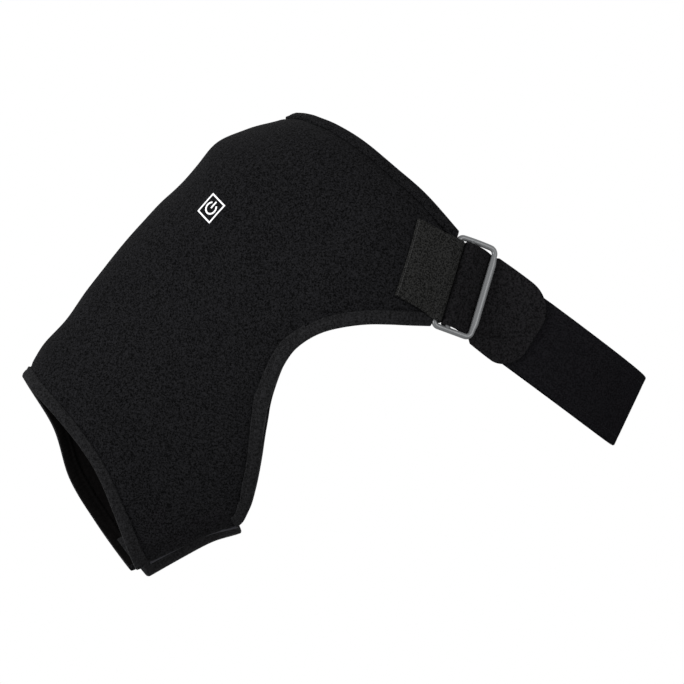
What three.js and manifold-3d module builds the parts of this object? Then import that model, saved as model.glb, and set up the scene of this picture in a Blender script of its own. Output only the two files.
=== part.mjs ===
// Heated shoulder wrap, in millimetres with +Z up.
// The wearer's back faces -Y, and +X runs from the wrapped shoulder to the other side of the body.
// The origin lies on the inner face of the shell, on the shoulder.
import * as THREE from "three";
import { mergeVertices } from "three/addons/utils/BufferGeometryUtils.js";
import Module from "manifold-3d";

const wasm = await Module();
wasm.setup();

// Shell
const SHELL_WIDTH = 340;
const SHELL_DROP = 350;
const SHELL_DEPTH = 106;
const WALL = 4;
const MOUTH_LEAN = 0.21;
const MOUTH_FADE = [1, 0.55, 0.2, 0];
const MOUTH_BACK = [0.5, 1.3, 1.68, 1.27, 0.63];
const MOUTH_FRONT = [0.5, 0.4, 1.38, 1.4, 1.24];
const FRONT_RISE = 8;
const APEX_ROW = 12;
const CLEARANCE = 0.3;

// Binding tape
const TAPE_WIDTH = 9.5;
const TAPE_THICKNESS = 0.9;
const APEX_LIFT = 1.3;
const OVER_TAPE = 2 * CLEARANCE + TAPE_THICKNESS;

// Closure under the arm
const STRIP_START_ROW = 0.2;
const STRIP_END_ROW = 2.95;
const STRIP_LAP = 24;
const STRIP_THICKNESS = 3;
const STRIP_BULGE = 6;
const STRIP_TAPER = 0.4;
const STRIP_BRIDGE = [0.34, 0.95];
const HOOK_WIDTH = 18;
const HOOK_SHOWS = 9.6;
const HOOK_THICKNESS = 0.8;

// Slide, a frame of round wire with a middle bar
const WIRE_RADIUS = 2.2;
const SLIDE_LENGTH = 72.5;
const SLIDE_SPAN = 29.5;
const SLIDE_CORNER = 4;
const HIDDEN_CORNER = 3.4;
const FAR_BAR_WIDTH = 5.6;
const FAR_BAR_SHIFT = 0.6;
const FAR_BAR_FADE = 8;
const MIDDLE_BAR = 10.8;
const SLIDE_SETBACK = 3.5;
const SLIDE_SINK = 1.4;

// Webbing tab, folded round the first bar of the slide
const WEBBING_WIDTH = 62;
const WEBBING_THICKNESS = 1.6;
const FOLD_WIDTH = 64.4;
const WEBBING_SPREAD = 12;
const WEBBING_OUTSIDE = 38;
const WEBBING_INSIDE = 25;
const WEBBING_SKEW = 0.12;
const WEBBING_SLACK = 0.9;

// Elastic strap
const STRAP_WIDTH = 59;
const STRAP_THICKNESS = 2.2;
const STRAP_REACH = 146.7;
const STRAP_FALL = 98.5;
const STRAP_DROP = 2.7;
const STRAP_ROUNDNESS = 2.4;
const STRAP_LAP = 45;
const STRAP_RAMP = 45;
const STRAP_ANGLE = 56;
const STRAP_SIDE_ANGLE = 65;
const DROP_BEFORE_BAR = 8;
const DROP_PAST_BAR = 6;
const TURN_WIDTH = 66.5;
const END_WIDTH = 71;
const END_NARROW = 65;
const END_WIDENS = 3;
const END_LENGTH = 53;
const END_CORNER = 22;

// Switch
const SWITCH_PLACE = { row: 8.27, share: 0.395 };
const SWITCH_TURN = 47;
const PAD_SIDE = 31;
const PAD_RISE = 2.6;
const PAD_EDGE_RISE = 0.5;
const PAD_ROUNDING = 0.22;
const PAD_SHOULDER = 0.6;
const FRAME_LENGTH = 19;
const FRAME_WIDTH = 17.5;
const FRAME_LINE = 1.5;
const PRINT_THICKNESS = 0.4;
const POWER_RADIUS = 5;
const POWER_LINE = 1.5;
const POWER_OPENING = 70;
const POWER_BAR_FROM = 1;
const POWER_BAR_TO = 6;

// Sections of the shell, from the sleeve mouth to the slide. Each is a stretch of an ellipse from the
// shoulder's ridge to the panel's lower edge. Its two ends are shares of the shell's width and drop and its
// depth is a share of the shell's depth. It starts and ends at angles from the ridge, in degrees: past the
// neck's apex a section starts below the ridge, where the neck edge cuts it.
const SECTION_COLUMNS = ["ridgeX", "ridgeZ", "edgeX", "edgeZ", "depth", "start", "end"];
const SECTIONS = [
  [-0.5125, -0.5425, -0.254, -0.972, 0.434, 0, 153],
  [-0.46, -0.468, -0.164, -0.926, 0.453, 0, 155],
  [-0.4035, -0.4045, -0.09, -0.893, 0.472, 0, 156],
  [-0.353, -0.34, -0.021, -0.873, 0.5, 0, 155],
  [-0.3075, -0.2795, 0.004, -0.843, 0.528, 0, 150],
  [-0.262, -0.225, 0.018, -0.8, 0.566, 0, 143],
  [-0.21, -0.17, 0.031, -0.738, 0.613, 0, 136],
  [-0.161, -0.123, 0.04, -0.68, 0.66, 0, 129],
  [-0.115, -0.0695, 0.048, -0.627, 0.708, 0, 122],
  [-0.065, -0.0195, 0.062, -0.576, 0.745, 0, 116],
  [0, 0.009, 0.083, -0.524, 0.783, 0, 110],
  [0.061, 0.0245, 0.107, -0.487, 0.821, 0, 105],
  [0.117, 0.0425, 0.141, -0.459, 0.858, 0, 101],
  [0.156, 0.047, 0.177, -0.442, 0.9, 14, 98],
  [0.207, 0.042, 0.223, -0.431, 0.925, 22, 97],
  [0.272, 0.0285, 0.275, -0.425, 0.945, 31, 96],
  [0.3465, -0.007, 0.324, -0.425, 0.945, 38, 95],
  [0.429, -0.044, 0.37, -0.427, 0.905, 45, 93],
  [0.517, -0.114, 0.417, -0.4285, 0.825, 51, 92],
];
const LAST_ROW = SECTIONS.length - 1;
const START = SECTION_COLUMNS.indexOf("start");

const radians = THREE.MathUtils.degToRad;

// Colours and finishes
const plush = finish("#1c1c1e", 0.95, 0);
const tape = finish("#1f1f21", 0.8, 0);
const webbing = finish("#232322", 0.85, 0);
const elastic = finish("#121213", 0.8, 0);
const hookTape = finish("#3c3c42", 0.8, 0);
const gunmetal = finish("#5a5c60", 0.35, 0.9);
const print = finish("#d2d2d4", 0.6, 0);

function finish(color, roughness, metalness) {
  return new THREE.MeshStandardMaterial({ color, roughness, metalness });
}

// A value at a place between evenly spaced ones, on a smooth line through them all
function between(values, place) {
  const last = values.length - 1;
  const k = THREE.MathUtils.clamp(Math.floor(place), 0, last - 1);
  const t = place - k;
  const near = (step) => values[THREE.MathUtils.clamp(k + step, 0, last)];
  const [before, from, to, after] = [-1, 0, 1, 2].map(near);
  const slope = (to - before) * t;
  const bend = (2 * before - 5 * from + 4 * to - after) * t * t;
  const twist = (3 * (from - to) + after - before) * t * t * t;
  return from + (slope + bend + twist) / 2;
}

// The section at any row, as sizes and angles
function sectionAt(row) {
  const s = {};
  SECTION_COLUMNS.forEach((name, c) => {
    s[name] = between(SECTIONS.map((values) => values[c]), row);
  });
  if (row <= APEX_ROW) s.start = 0;
  else if (row < APEX_ROW + 1) s.start = SECTIONS[APEX_ROW + 1][START] * Math.sqrt(row - APEX_ROW);
  return {
    ridge: new THREE.Vector2(s.ridgeX * SHELL_WIDTH, s.ridgeZ * SHELL_DROP),
    edge: new THREE.Vector2(s.edgeX * SHELL_WIDTH, s.edgeZ * SHELL_DROP),
    depth: s.depth * SHELL_DEPTH,
    start: radians(s.start),
    end: radians(s.end),
  };
}

// The front of the wrap sits a little higher than the back.
function raisedFront(point) {
  point.z += FRONT_RISE * (Math.max(point.y, 0) / SHELL_DEPTH) ** 2;
  return point;
}

// A point of the shell's outer face: share runs from 0 at the top to 1 at the lower edge,
// and side is -1 on the back and 1 on the front.
function shellPoint(row, share, side) {
  const s = sectionAt(row);
  const angle = s.start + (s.end - s.start) * share;
  const along = (1 - Math.cos(angle)) / (1 - Math.cos(s.end));
  const flat = s.ridge.clone().lerp(s.edge, along);
  const y = side * s.depth * Math.sin(angle);
  const fade = between(MOUTH_FADE, Math.min(row, MOUTH_FADE.length - 1));
  const mouth = side < 0 ? MOUTH_BACK : MOUTH_FRONT;
  const shape = between(mouth, along * (mouth.length - 1));
  const outward = s.edge.clone().sub(s.ridge).normalize().rotateAround(new THREE.Vector2(), -Math.PI / 2);
  flat.addScaledVector(outward, MOUTH_LEAN * fade * shape * y);
  return raisedFront(new THREE.Vector3(flat.x, y, flat.y));
}

// A point of the outer face with the directions along the rows and down the section, and the outward normal
function shellFrame(row, share, side) {
  const STEP = 0.004;
  const point = shellPoint(row, share, side);
  const alongRow = shellPoint(row + STEP, share, side).sub(shellPoint(row - STEP, share, side));
  const down = shellPoint(row, share + STEP, side).sub(shellPoint(row, share - STEP, side));
  alongRow.divideScalar(2 * STEP);
  down.divideScalar(2 * STEP);
  const normal = new THREE.Vector3().crossVectors(down, alongRow).normalize().multiplyScalar(-side);
  return { point, normal, alongRow, down, row, share, side };
}

// The point of the outer face nearest to a target, found in a few steps from a frame near it
function nearest(target, guess) {
  let frame = guess;
  for (let step = 0; step < 8; step++) {
    const miss = target.clone().sub(frame.point);
    const a = frame.alongRow.lengthSq();
    const b = frame.alongRow.dot(frame.down);
    const d = frame.down.lengthSq();
    const u = miss.dot(frame.alongRow);
    const v = miss.dot(frame.down);
    const det = a * d - b * b;
    frame = shellFrame(frame.row + (d * u - b * v) / det, frame.share + (a * v - b * u) / det, frame.side);
  }
  return frame;
}

function shifted(point, normal, distance) {
  return point.clone().addScaledVector(normal, distance);
}

// A corner of a sheet, between two distances from a surface
function corner(point, normal, low, high) {
  return { outer: shifted(point, normal, high), inner: shifted(point, normal, low) };
}

// The quads of a grid of corners
function gridQuads(grid) {
  const quads = [];
  for (let i = 0; i + 1 < grid.length; i++)
    for (let j = 0; j + 1 < grid[i].length; j++)
      quads.push([grid[i][j], grid[i][j + 1], grid[i + 1][j + 1], grid[i + 1][j]]);
  return quads;
}

// One closed solid from the quads of a sheet: both faces, and a wall along every free edge
function thicken(quads) {
  const ids = new Map();
  const corners = [];
  const idOf = (c) => {
    const key = c.outer.toArray().map((value) => Math.round(value * 1e4) + 0).join();
    if (!ids.has(key)) {
      ids.set(key, corners.length);
      corners.push(c);
    }
    return ids.get(key);
  };
  const faces = quads.map((quad) => quad.map(idOf));
  const edges = new Set();
  faces.forEach((f) => f.forEach((id, n) => edges.add(id + "," + f[(n + 1) % 4])));
  const count = corners.length;
  const index = [];
  faces.forEach(([a, b, c, d]) => {
    index.push(a, b, c, a, c, d);
    index.push(a + count, c + count, b + count, a + count, d + count, c + count);
  });
  edges.forEach((edge) => {
    const [a, b] = edge.split(",").map(Number);
    if (!edges.has(b + "," + a)) index.push(b, a, a + count, b, a + count, b + count);
  });
  const points = corners.map((c) => c.outer).concat(corners.map((c) => c.inner));
  return facingOut(new THREE.BufferGeometry().setFromPoints(points).setIndex(index));
}

// The same geometry with its faces turned round where they point inwards
function facingOut(geometry) {
  const p = geometry.getAttribute("position");
  const at = (n) => new THREE.Vector3().fromBufferAttribute(p, n);
  const index = [...geometry.index.array];
  let volume = 0;
  for (let i = 0; i < index.length; i += 3)
    volume += at(index[i]).dot(at(index[i + 1]).cross(at(index[i + 2])));
  if (volume < 0) index.reverse();
  return geometry.setIndex(index);
}

function solidOf(geometry) {
  return new wasm.Manifold(
    new wasm.Mesh({
      numProp: 3,
      vertProperties: geometry.getAttribute("position").array,
      triVerts: new Uint32Array(geometry.index.array),
    }),
  );
}

function geometryOf(solid) {
  const mesh = solid.getMesh();
  return new THREE.BufferGeometry()
    .setAttribute("position", new THREE.BufferAttribute(mesh.vertProperties, 3))
    .setIndex([...mesh.triVerts]);
}

const wrap = new THREE.Group();

function add(name, geometry, material) {
  geometry.computeVertexNormals();
  const mesh = new THREE.Mesh(geometry, material);
  mesh.name = name;
  wrap.add(mesh);
}

// Rows and columns shared by the shell and its bindings
const CUFF_ROW = TAPE_WIDTH / shellPoint(1, 0.5, -1).distanceTo(shellPoint(0, 0.5, -1));
const COLUMN_COUNT = 13;
const COLUMN_CROWDING = 0.08;
const ROW_GAP = 0.02;
const rowsFrom = (first, last, step) =>
  Array.from({ length: Math.round((last - first) / step) + 1 }, (_, n) => first + n * step);
const APEX_ROWS = [0.1, 0.35, 0.7].map((t) => APEX_ROW + t);
const FIRST_ROW = (CUFF_ROW + 1) / 2;
const SHELL_ROWS = [0, CUFF_ROW, FIRST_ROW]
  .concat(rowsFrom(1, APEX_ROW - 0.5, 0.5), rowsFrom(APEX_ROW - 0.25, APEX_ROW, 0.25), APEX_ROWS)
  .concat(rowsFrom(APEX_ROW + 1, LAST_ROW, 0.5));

// The share of a section that the tape covers beside its edge, at the section's start or at its lower edge
function tapeShare(row, share, side) {
  const { down, alongRow } = shellFrame(row, share, side);
  const roundsApex = row >= APEX_ROW && row < APEX_ROW + 1;
  const reach = roundsApex ? down.length() : down.clone().cross(alongRow).length() / alongRow.length();
  return TAPE_WIDTH / reach;
}

// Columns lie closer together near both edges, where the sections curve most.
function shellColumns(row, side) {
  const first = tapeShare(row, 0, side);
  const last = 1 - tapeShare(row, 1, side);
  const spread = (t) => t - COLUMN_CROWDING * Math.sin(2 * Math.PI * t);
  const inner = rowsFrom(0, 1, 1 / COLUMN_COUNT).map((t) => first + (last - first) * spread(t));
  return [0, ...inner, 1];
}

function shell() {
  const quads = [-1, 1].flatMap((side) => {
    const grid = SHELL_ROWS.map((row) =>
      shellColumns(row, side).map((share) => {
        const f = shellFrame(row, share, side);
        return corner(f.point, f.normal, -WALL, 0);
      }),
    );
    return gridQuads(side < 0 ? grid : grid.map((line) => line.reverse()));
  });
  add("wrap_shell", thicken(quads), plush);
}

// A tape folded round an edge, its quads split the same way as the shell's beside them. Each station gives
// the frame at the edge, the frame at the tape's own edge on the shell, and the direction out past the edge.
function binding(name, stations, turnedStrips = [2]) {
  const near = CLEARANCE;
  const far = CLEARANCE + TAPE_THICKNESS;
  const grid = stations.map(({ edge, inset, out, lift = 0 }) => {
    const at = (frame, past, height) => shifted(frame.point, frame.normal, height).addScaledVector(out, past);
    return [
      { inner: at(inset, 0, near + lift), outer: at(inset, 0, far + lift) },
      { inner: at(edge, near, near), outer: at(edge, far, far) },
      { inner: at(edge, near, -WALL - near), outer: at(edge, far, -WALL - far) },
      { inner: at(inset, 0, -WALL - near - lift), outer: at(inset, 0, -WALL - far - lift) },
    ];
  });
  const turned = ([a, b, c, d], n) => (turnedStrips.includes(n % 3) ? [b, c, d, a] : [a, b, c, d]);
  add(name, thicken(gridQuads(grid).map(turned)), tape);
}

function cuffBinding() {
  const station = (share, side) => {
    const edge = shellFrame(0, share, side);
    const inset = shellFrame(CUFF_ROW, share, side);
    return { edge, inset, out: edge.point.clone().sub(inset.point).normalize() };
  };
  const columns = shellColumns(0, -1);
  const back = columns.map((share) => station(share, -1)).reverse();
  const front = columns.slice(1).map((share) => station(share, 1));
  binding("cuff_binding", back.concat(front));
}

function edgeBinding(name, side) {
  const rows = SHELL_ROWS.filter((row) => row > STRIP_END_ROW);
  rows[rows.length - 1] -= ROW_GAP;
  const stations = rows.map((row) => {
    const edge = shellFrame(row, 1, side);
    const inset = shellFrame(row, 1 - tapeShare(row, 1, side), side);
    return { edge, inset, out: edge.down.clone().normalize() };
  });
  if (side < 0) binding(name, stations);
  else binding(name, stations.reverse(), [1, 2]);
}

function neckBinding() {
  const rows = SHELL_ROWS.filter((row) => row > APEX_ROW);
  rows[rows.length - 1] -= ROW_GAP;
  const edges = rows.map((row) => shellFrame(row, 0, -1)).reverse();
  edges.push(shellFrame(APEX_ROW, 0, -1));
  edges.push(...rows.map((row) => shellFrame(row, 0, 1)));
  const stations = edges.map((edge, n) => {
    const before = edges[Math.max(n - 1, 0)].point;
    const after = edges[Math.min(n + 1, edges.length - 1)].point;
    const out = after.clone().sub(before).cross(edge.normal).normalize();
    if (out.x < 0) out.negate();
    const straight = edge.row >= APEX_ROW + 1;
    const inset = straight
      ? shellFrame(edge.row, tapeShare(edge.row, 0, edge.side), edge.side)
      : nearest(shifted(edge.point, out, -TAPE_WIDTH), edge);
    return { edge, inset, out, lift: straight ? 0 : APEX_LIFT };
  });
  binding("neck_binding", stations);
}

// The share that lies a given length before the lower edge
function shareBefore(row, side, length) {
  return 1 - length / shellFrame(row, 1, side).down.length();
}

const CLOSURE_ROWS = [CUFF_ROW + ROW_GAP, FIRST_ROW, 1, 1.5, 2, 2.5, STRIP_END_ROW];

// How far the closure bulges out where it bridges the opening between the panels' edges
function closureBulge(row, share) {
  const middle = Math.PI / sectionAt(row).end;
  const reach = (row - STRIP_START_ROW) / (STRIP_END_ROW - STRIP_START_ROW);
  const taper = THREE.MathUtils.lerp(1, STRIP_TAPER, reach ** 2);
  const bridge = (1 - share) / (1 - middle);
  return STRIP_BULGE * taper * THREE.MathUtils.smoothstep(bridge, ...STRIP_BRIDGE);
}

function closureTape() {
  const COLUMNS = 4;
  const grid = CLOSURE_ROWS.map((row) => {
    const first = shareBefore(row, -1, HOOK_WIDTH);
    const last = shareBefore(row, -1, -HOOK_SHOWS);
    return Array.from({ length: COLUMNS + 1 }, (_, n) => {
      const f = shellFrame(row, first + ((last - first) * n) / COLUMNS, -1);
      const top = closureBulge(row, f.share) - WALL - CLEARANCE;
      return corner(f.point, f.normal, top - HOOK_THICKNESS, top);
    });
  });
  add("closure_tape", thicken(gridQuads(grid)), hookTape);
}

// The strip lies inside both panels and bridges the opening between their edges
function closureStrip() {
  const COLUMNS = 7;
  const grid = [STRIP_START_ROW, ...CLOSURE_ROWS].map((row) => {
    const lap = shareBefore(row, -1, STRIP_LAP);
    const middle = Math.PI / sectionAt(row).end;
    return Array.from({ length: 2 * COLUMNS + 1 }, (_, n) => {
      const side = n <= COLUMNS ? -1 : 1;
      const t = Math.abs(n - COLUMNS) / COLUMNS;
      const f = shellFrame(row, middle + (lap - middle) * t, side);
      const top = closureBulge(row, f.share) - WALL - OVER_TAPE;
      return corner(f.point, f.normal, top - STRIP_THICKNESS, top);
    });
  });
  add("arm_closure_strip", thicken(gridQuads(grid)), tape);
}

// Frame of the slide: its origin is the middle of the first bar, past the end of the back tongue
function slideFrame(side) {
  const top = shellFrame(LAST_ROW, 0, side);
  const edge = shellFrame(LAST_ROW, 1, side);
  const middle = shellFrame(LAST_ROW, 0.5, side);
  const across = top.point.clone().sub(edge.point).normalize();
  const out = middle.normal.clone().addScaledVector(across, -middle.normal.dot(across)).normalize();
  const along = new THREE.Vector3().crossVectors(out, across).multiplyScalar(side < 0 ? -1 : 1).normalize();
  const origin = top.point.clone().lerp(edge.point, 0.5);
  origin.y = middle.point.y;
  origin.addScaledVector(along, SLIDE_SETBACK).addScaledVector(out, -WALL / 2 - SLIDE_SINK);
  return { origin, across, out, along, middle };
}

const slide = slideFrame(-1);
const STRAP_LOW = -WALL / 2;
const END_LOW = STRAP_LOW + STRAP_THICKNESS + CLEARANCE;
const FAR_BAR_HEIGHT = END_LOW + STRAP_THICKNESS + CLEARANCE + WIRE_RADIUS;
const MIDDLE_BAR_HEIGHT = (FAR_BAR_HEIGHT * MIDDLE_BAR) / SLIDE_SPAN;

function slidePoint(along, height, across) {
  return slide.origin
    .clone()
    .addScaledVector(slide.along, along)
    .addScaledVector(slide.out, height)
    .addScaledVector(slide.across, across);
}

// A closed tube of round wire along a closed curve
function closedTube(curve, radius, steps, sides) {
  const frames = curve.computeFrenetFrames(steps, true);
  const points = [];
  const index = [];
  for (let i = 0; i < steps; i++)
    for (let j = 0; j < sides; j++) {
      const angle = (2 * Math.PI * j) / sides;
      const centre = curve.getPointAt(i / steps);
      centre.addScaledVector(frames.normals[i], radius * Math.cos(angle));
      points.push(centre.addScaledVector(frames.binormals[i], radius * Math.sin(angle)));
      const next = ((i + 1) % steps) * sides;
      const turn = (j + 1) % sides;
      index.push(i * sides + j, next + j, next + turn, i * sides + j, next + turn, i * sides + turn);
    }
  return facingOut(new THREE.BufferGeometry().setFromPoints(points).setIndex(index));
}

// The outline of the slide's wire: a rectangle with rounded corners, tilted so that the strap passes under it
function slideOutline() {
  const tilt = Math.atan2(FAR_BAR_HEIGHT, SLIDE_SPAN);
  const span = Math.hypot(FAR_BAR_HEIGHT, SLIDE_SPAN);
  const path = new THREE.CurvePath();
  const place = (p, w) => slidePoint(p * Math.cos(tilt), p * Math.sin(tilt), w);
  const half = SLIDE_LENGTH / 2;
  const cornerAt = (p) => (p > 0 ? SLIDE_CORNER : HIDDEN_CORNER);
  const ends = [
    [0, -half, 1, 0, 0, 1],
    [span, -half, 0, 1, -1, 0],
    [span, half, -1, 0, 0, -1],
    [0, half, 0, -1, 1, 0],
  ];
  const points = ends.map(([p, w, outP, outW, inP, inW]) => ({
    leave: place(p + outP * cornerAt(p), w + outW * cornerAt(p)),
    arrive: place(p + inP * cornerAt(p), w + inW * cornerAt(p)),
    corner: place(p, w),
  }));
  points.forEach((point, n) => {
    const next = points[(n + 1) % points.length];
    path.add(new THREE.QuadraticBezierCurve3(point.arrive, point.corner, point.leave));
    path.add(new THREE.LineCurve3(point.leave, next.arrive));
  });
  return path;
}

// Widens the far bar in the slide's own plane and moves its middle out, up to its corners
function widenFarBar(geometry) {
  const far = slidePoint(SLIDE_SPAN, FAR_BAR_HEIGHT, 0);
  const run = far.clone().sub(slide.origin).normalize();
  const free = SLIDE_LENGTH / 2 - SLIDE_CORNER;
  const spread = FAR_BAR_WIDTH / (2 * WIRE_RADIUS) - 1;
  const positions = geometry.getAttribute("position");
  const point = new THREE.Vector3();
  for (let i = 0; i < positions.count; i++) {
    point.fromBufferAttribute(positions, i);
    const offset = point.clone().sub(far);
    const ahead = offset.dot(run);
    const wide = 1 - THREE.MathUtils.smoothstep(Math.abs(offset.dot(slide.across)), free - FAR_BAR_FADE, free);
    if (ahead < -SLIDE_SPAN / 2 || wide === 0) continue;
    point.addScaledVector(run, wide * (FAR_BAR_SHIFT + spread * ahead));
    positions.setXYZ(i, point.x, point.y, point.z);
  }
  return geometry;
}

function slideBuckle() {
  const SIDES = 8;
  const STEPS = 60;
  const frame = widenFarBar(closedTube(slideOutline(), WIRE_RADIUS, STEPS, SIDES));
  const bar = new THREE.CylinderGeometry(WIRE_RADIUS, WIRE_RADIUS, SLIDE_LENGTH, SIDES);
  const axes = new THREE.Matrix4().makeBasis(slide.along, slide.across, slide.out.clone().negate());
  bar.applyMatrix4(axes.setPosition(slidePoint(MIDDLE_BAR, MIDDLE_BAR_HEIGHT, 0)));
  bar.deleteAttribute("normal");
  bar.deleteAttribute("uv");
  add("slide_buckle", geometryOf(solidOf(frame).add(solidOf(facingOut(mergeVertices(bar))))), gunmetal);
}

// Places across a band, from its lower to its upper edge
const acrossBand = (width, count) => rowsFrom(-0.5, 0.5, 1 / count).map((t) => t * width);
// Places between two others, the first and last included
const evenly = (first, last, count) => rowsFrom(0, 1, 1 / count).map((t) => first + (last - first) * t);
const FOLD_STEPS = 8;

// The webbing runs over the back panel, round the first bar and under the panel.
function ringTab() {
  const COLUMNS = 6;
  const OUTSIDE_STEPS = 7;
  const INSIDE_STEPS = 5;
  const bend = WALL / 2 + OVER_TAPE;
  const layer = (along, low, high) => {
    const spread = THREE.MathUtils.smoothstep(along, -SLIDE_SETBACK - WEBBING_SPREAD, -SLIDE_SETBACK);
    const width = THREE.MathUtils.lerp(WEBBING_WIDTH, FOLD_WIDTH, spread);
    return acrossBand(width, COLUMNS).map((across) => {
      const f = nearest(slidePoint(along, WALL / 2, across - WEBBING_SKEW * along), slide.middle);
      return corner(f.point, f.normal, low, high);
    });
  };
  const over = evenly(-WEBBING_OUTSIDE, -SLIDE_SETBACK, OUTSIDE_STEPS);
  const under = evenly(-SLIDE_SETBACK, -WEBBING_INSIDE, INSIDE_STEPS);
  const fold = rowsFrom(90, -90, -180 / FOLD_STEPS).map((degrees) => {
    const angle = radians(degrees);
    const at = (radius, across) => slidePoint(radius * Math.cos(angle), radius * Math.sin(angle), across);
    return acrossBand(FOLD_WIDTH, COLUMNS).map((across) => ({
      inner: at(bend, across),
      outer: at(bend + WEBBING_THICKNESS, across),
    }));
  });
  const outer = over.map((along) => layer(along, OVER_TAPE, OVER_TAPE + WEBBING_THICKNESS));
  const inside = -WALL - OVER_TAPE - WEBBING_SLACK;
  const inner = under.map((along) => layer(along, inside, inside - WEBBING_THICKNESS));
  add("ring_tab", thicken(gridQuads([...outer, ...fold, ...inner])), webbing);
}

// Course of the strap. It leaves the slide in the slide's own direction and then goes round the body in a
// sloping plane, the same way behind and in front.
const STRAP_STRAIGHT = SLIDE_SPAN + WIRE_RADIUS;
const STRAP_START = slidePoint(STRAP_STRAIGHT, 0, 0);
const STRAP_SIDE = new THREE.Vector3(slide.origin.x + STRAP_REACH, 0, slide.origin.z - STRAP_FALL);

function strapPoint(t) {
  const power = 2 / STRAP_ROUNDNESS;
  const phase = (t * Math.PI) / 2;
  const reach = Math.sin(phase) ** power;
  const back = Math.max(Math.cos(phase), 0) ** power;
  return new THREE.Vector3(
    THREE.MathUtils.lerp(STRAP_START.x, STRAP_SIDE.x, reach),
    STRAP_START.y * back,
    THREE.MathUtils.lerp(STRAP_START.z, STRAP_SIDE.z, reach),
  );
}

// Stations of the strap from the slide to the side of the body, at even lengths along it
function strapStations() {
  const FINE = 400;
  const CROWDING = 1.4;
  const points = rowsFrom(0, 1, 1 / FINE).map((t) => strapPoint(t ** CROWDING));
  const lengths = [0];
  for (let n = 1; n <= FINE; n++) lengths.push(lengths[n - 1] + points[n].distanceTo(points[n - 1]));
  const total = lengths[FINE];
  return { points, lengths, total };
}

const course = strapStations();

function strapFrame(length) {
  const run = THREE.MathUtils.clamp(length - STRAP_STRAIGHT, 0, course.total);
  const settling = [SLIDE_SPAN - DROP_BEFORE_BAR, SLIDE_SPAN + DROP_PAST_BAR];
  const drop = STRAP_DROP * THREE.MathUtils.smoothstep(length, ...settling);
  if (run === 0) return { point: slidePoint(length, 0, -drop), out: slide.out, across: slide.across };
  const { points, lengths } = course;
  const n = lengths.findIndex((value) => value >= run - 1e-6);
  const part = (run - lengths[n - 1]) / (lengths[n] - lengths[n - 1]);
  const point = points[n - 1].clone().lerp(points[n], part);
  const ahead = points[Math.min(n + 2, points.length - 1)];
  const along = ahead.clone().sub(points[Math.max(n - 3, 0)]).normalize();
  if (course.total - run < 1) along.set(0, 1, 0);
  const angle = radians(THREE.MathUtils.lerp(STRAP_ANGLE, STRAP_SIDE_ANGLE, run / course.total));
  const settled = THREE.MathUtils.smoothstep(run, -SLIDE_SPAN / 2, END_LENGTH);
  const across = slide.across.clone().lerp(new THREE.Vector3(Math.cos(angle), 0, Math.sin(angle)), settled);
  const square = new THREE.Vector3().crossVectors(along, across).normalize();
  const out = slide.out.clone().lerp(square, settled).normalize();
  across.normalize();
  return { point: point.addScaledVector(across, -drop), out, across };
}

function bandLine(frame, width, columns, low, high) {
  return acrossBand(width, columns).map((across) => {
    const point = frame.point.clone().addScaledVector(frame.across, across);
    return corner(point, frame.out, low, high);
  });
}

// Stations that both layers of the strap share: close together where the end lies on the strap
const LAYER_FIRST = MIDDLE_BAR + WIRE_RADIUS + CLEARANCE + STRAP_THICKNESS + CLEARANCE;
const LAYER_LAST = SLIDE_SPAN + END_LENGTH - END_CORNER;
const LAYER_STEPS = 12;
const LAYER_LENGTHS = evenly(LAYER_FIRST, LAYER_LAST, LAYER_STEPS);
const STRAP_LAST = STRAP_STRAIGHT + course.total;

// The strap goes from under the slide's middle bar round the body and onto the front panel.
function chestStrap() {
  const COLUMNS = 3;
  const REST_STEPS = 20;
  const FIRST_STEPS = 8;
  const SEWN_STEPS = 6;
  const rest = evenly(LAYER_LAST, STRAP_LAST, REST_STEPS).slice(1);
  const lineAt = (length, low) =>
    bandLine(strapFrame(length), STRAP_WIDTH, COLUMNS, low, low + STRAP_THICKNESS);
  const back = [...LAYER_LENGTHS, ...rest].map((length) => lineAt(length, STRAP_LOW));
  const rise = (length) => THREE.MathUtils.smoothstep(length, 0, STRAP_RAMP);
  const onward = [...rest.slice(0, -1).reverse(), ...evenly(LAYER_LAST, 0, FIRST_STEPS)];
  const round = onward.map((length) =>
    lineAt(length, THREE.MathUtils.lerp(WALL / 2 + OVER_TAPE, STRAP_LOW, rise(length))),
  );
  const sewn = evenly(-SLIDE_SETBACK, -STRAP_LAP, SEWN_STEPS).map((along) =>
    acrossBand(STRAP_WIDTH, COLUMNS).map((across) => {
      const f = nearest(slidePoint(along, WALL / 2, across), slide.middle);
      return corner(f.point, f.normal, OVER_TAPE, OVER_TAPE + STRAP_THICKNESS);
    }),
  );
  const mirror = ({ x, y, z }) => raisedFront(new THREE.Vector3(x, -y, z));
  const front = [...round, ...sewn].map((line) =>
    line.map(({ outer, inner }) => ({ outer: mirror(outer), inner: mirror(inner) })),
  );
  add("chest_strap", thicken(gridQuads([...back, ...front])), elastic);
}

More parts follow.
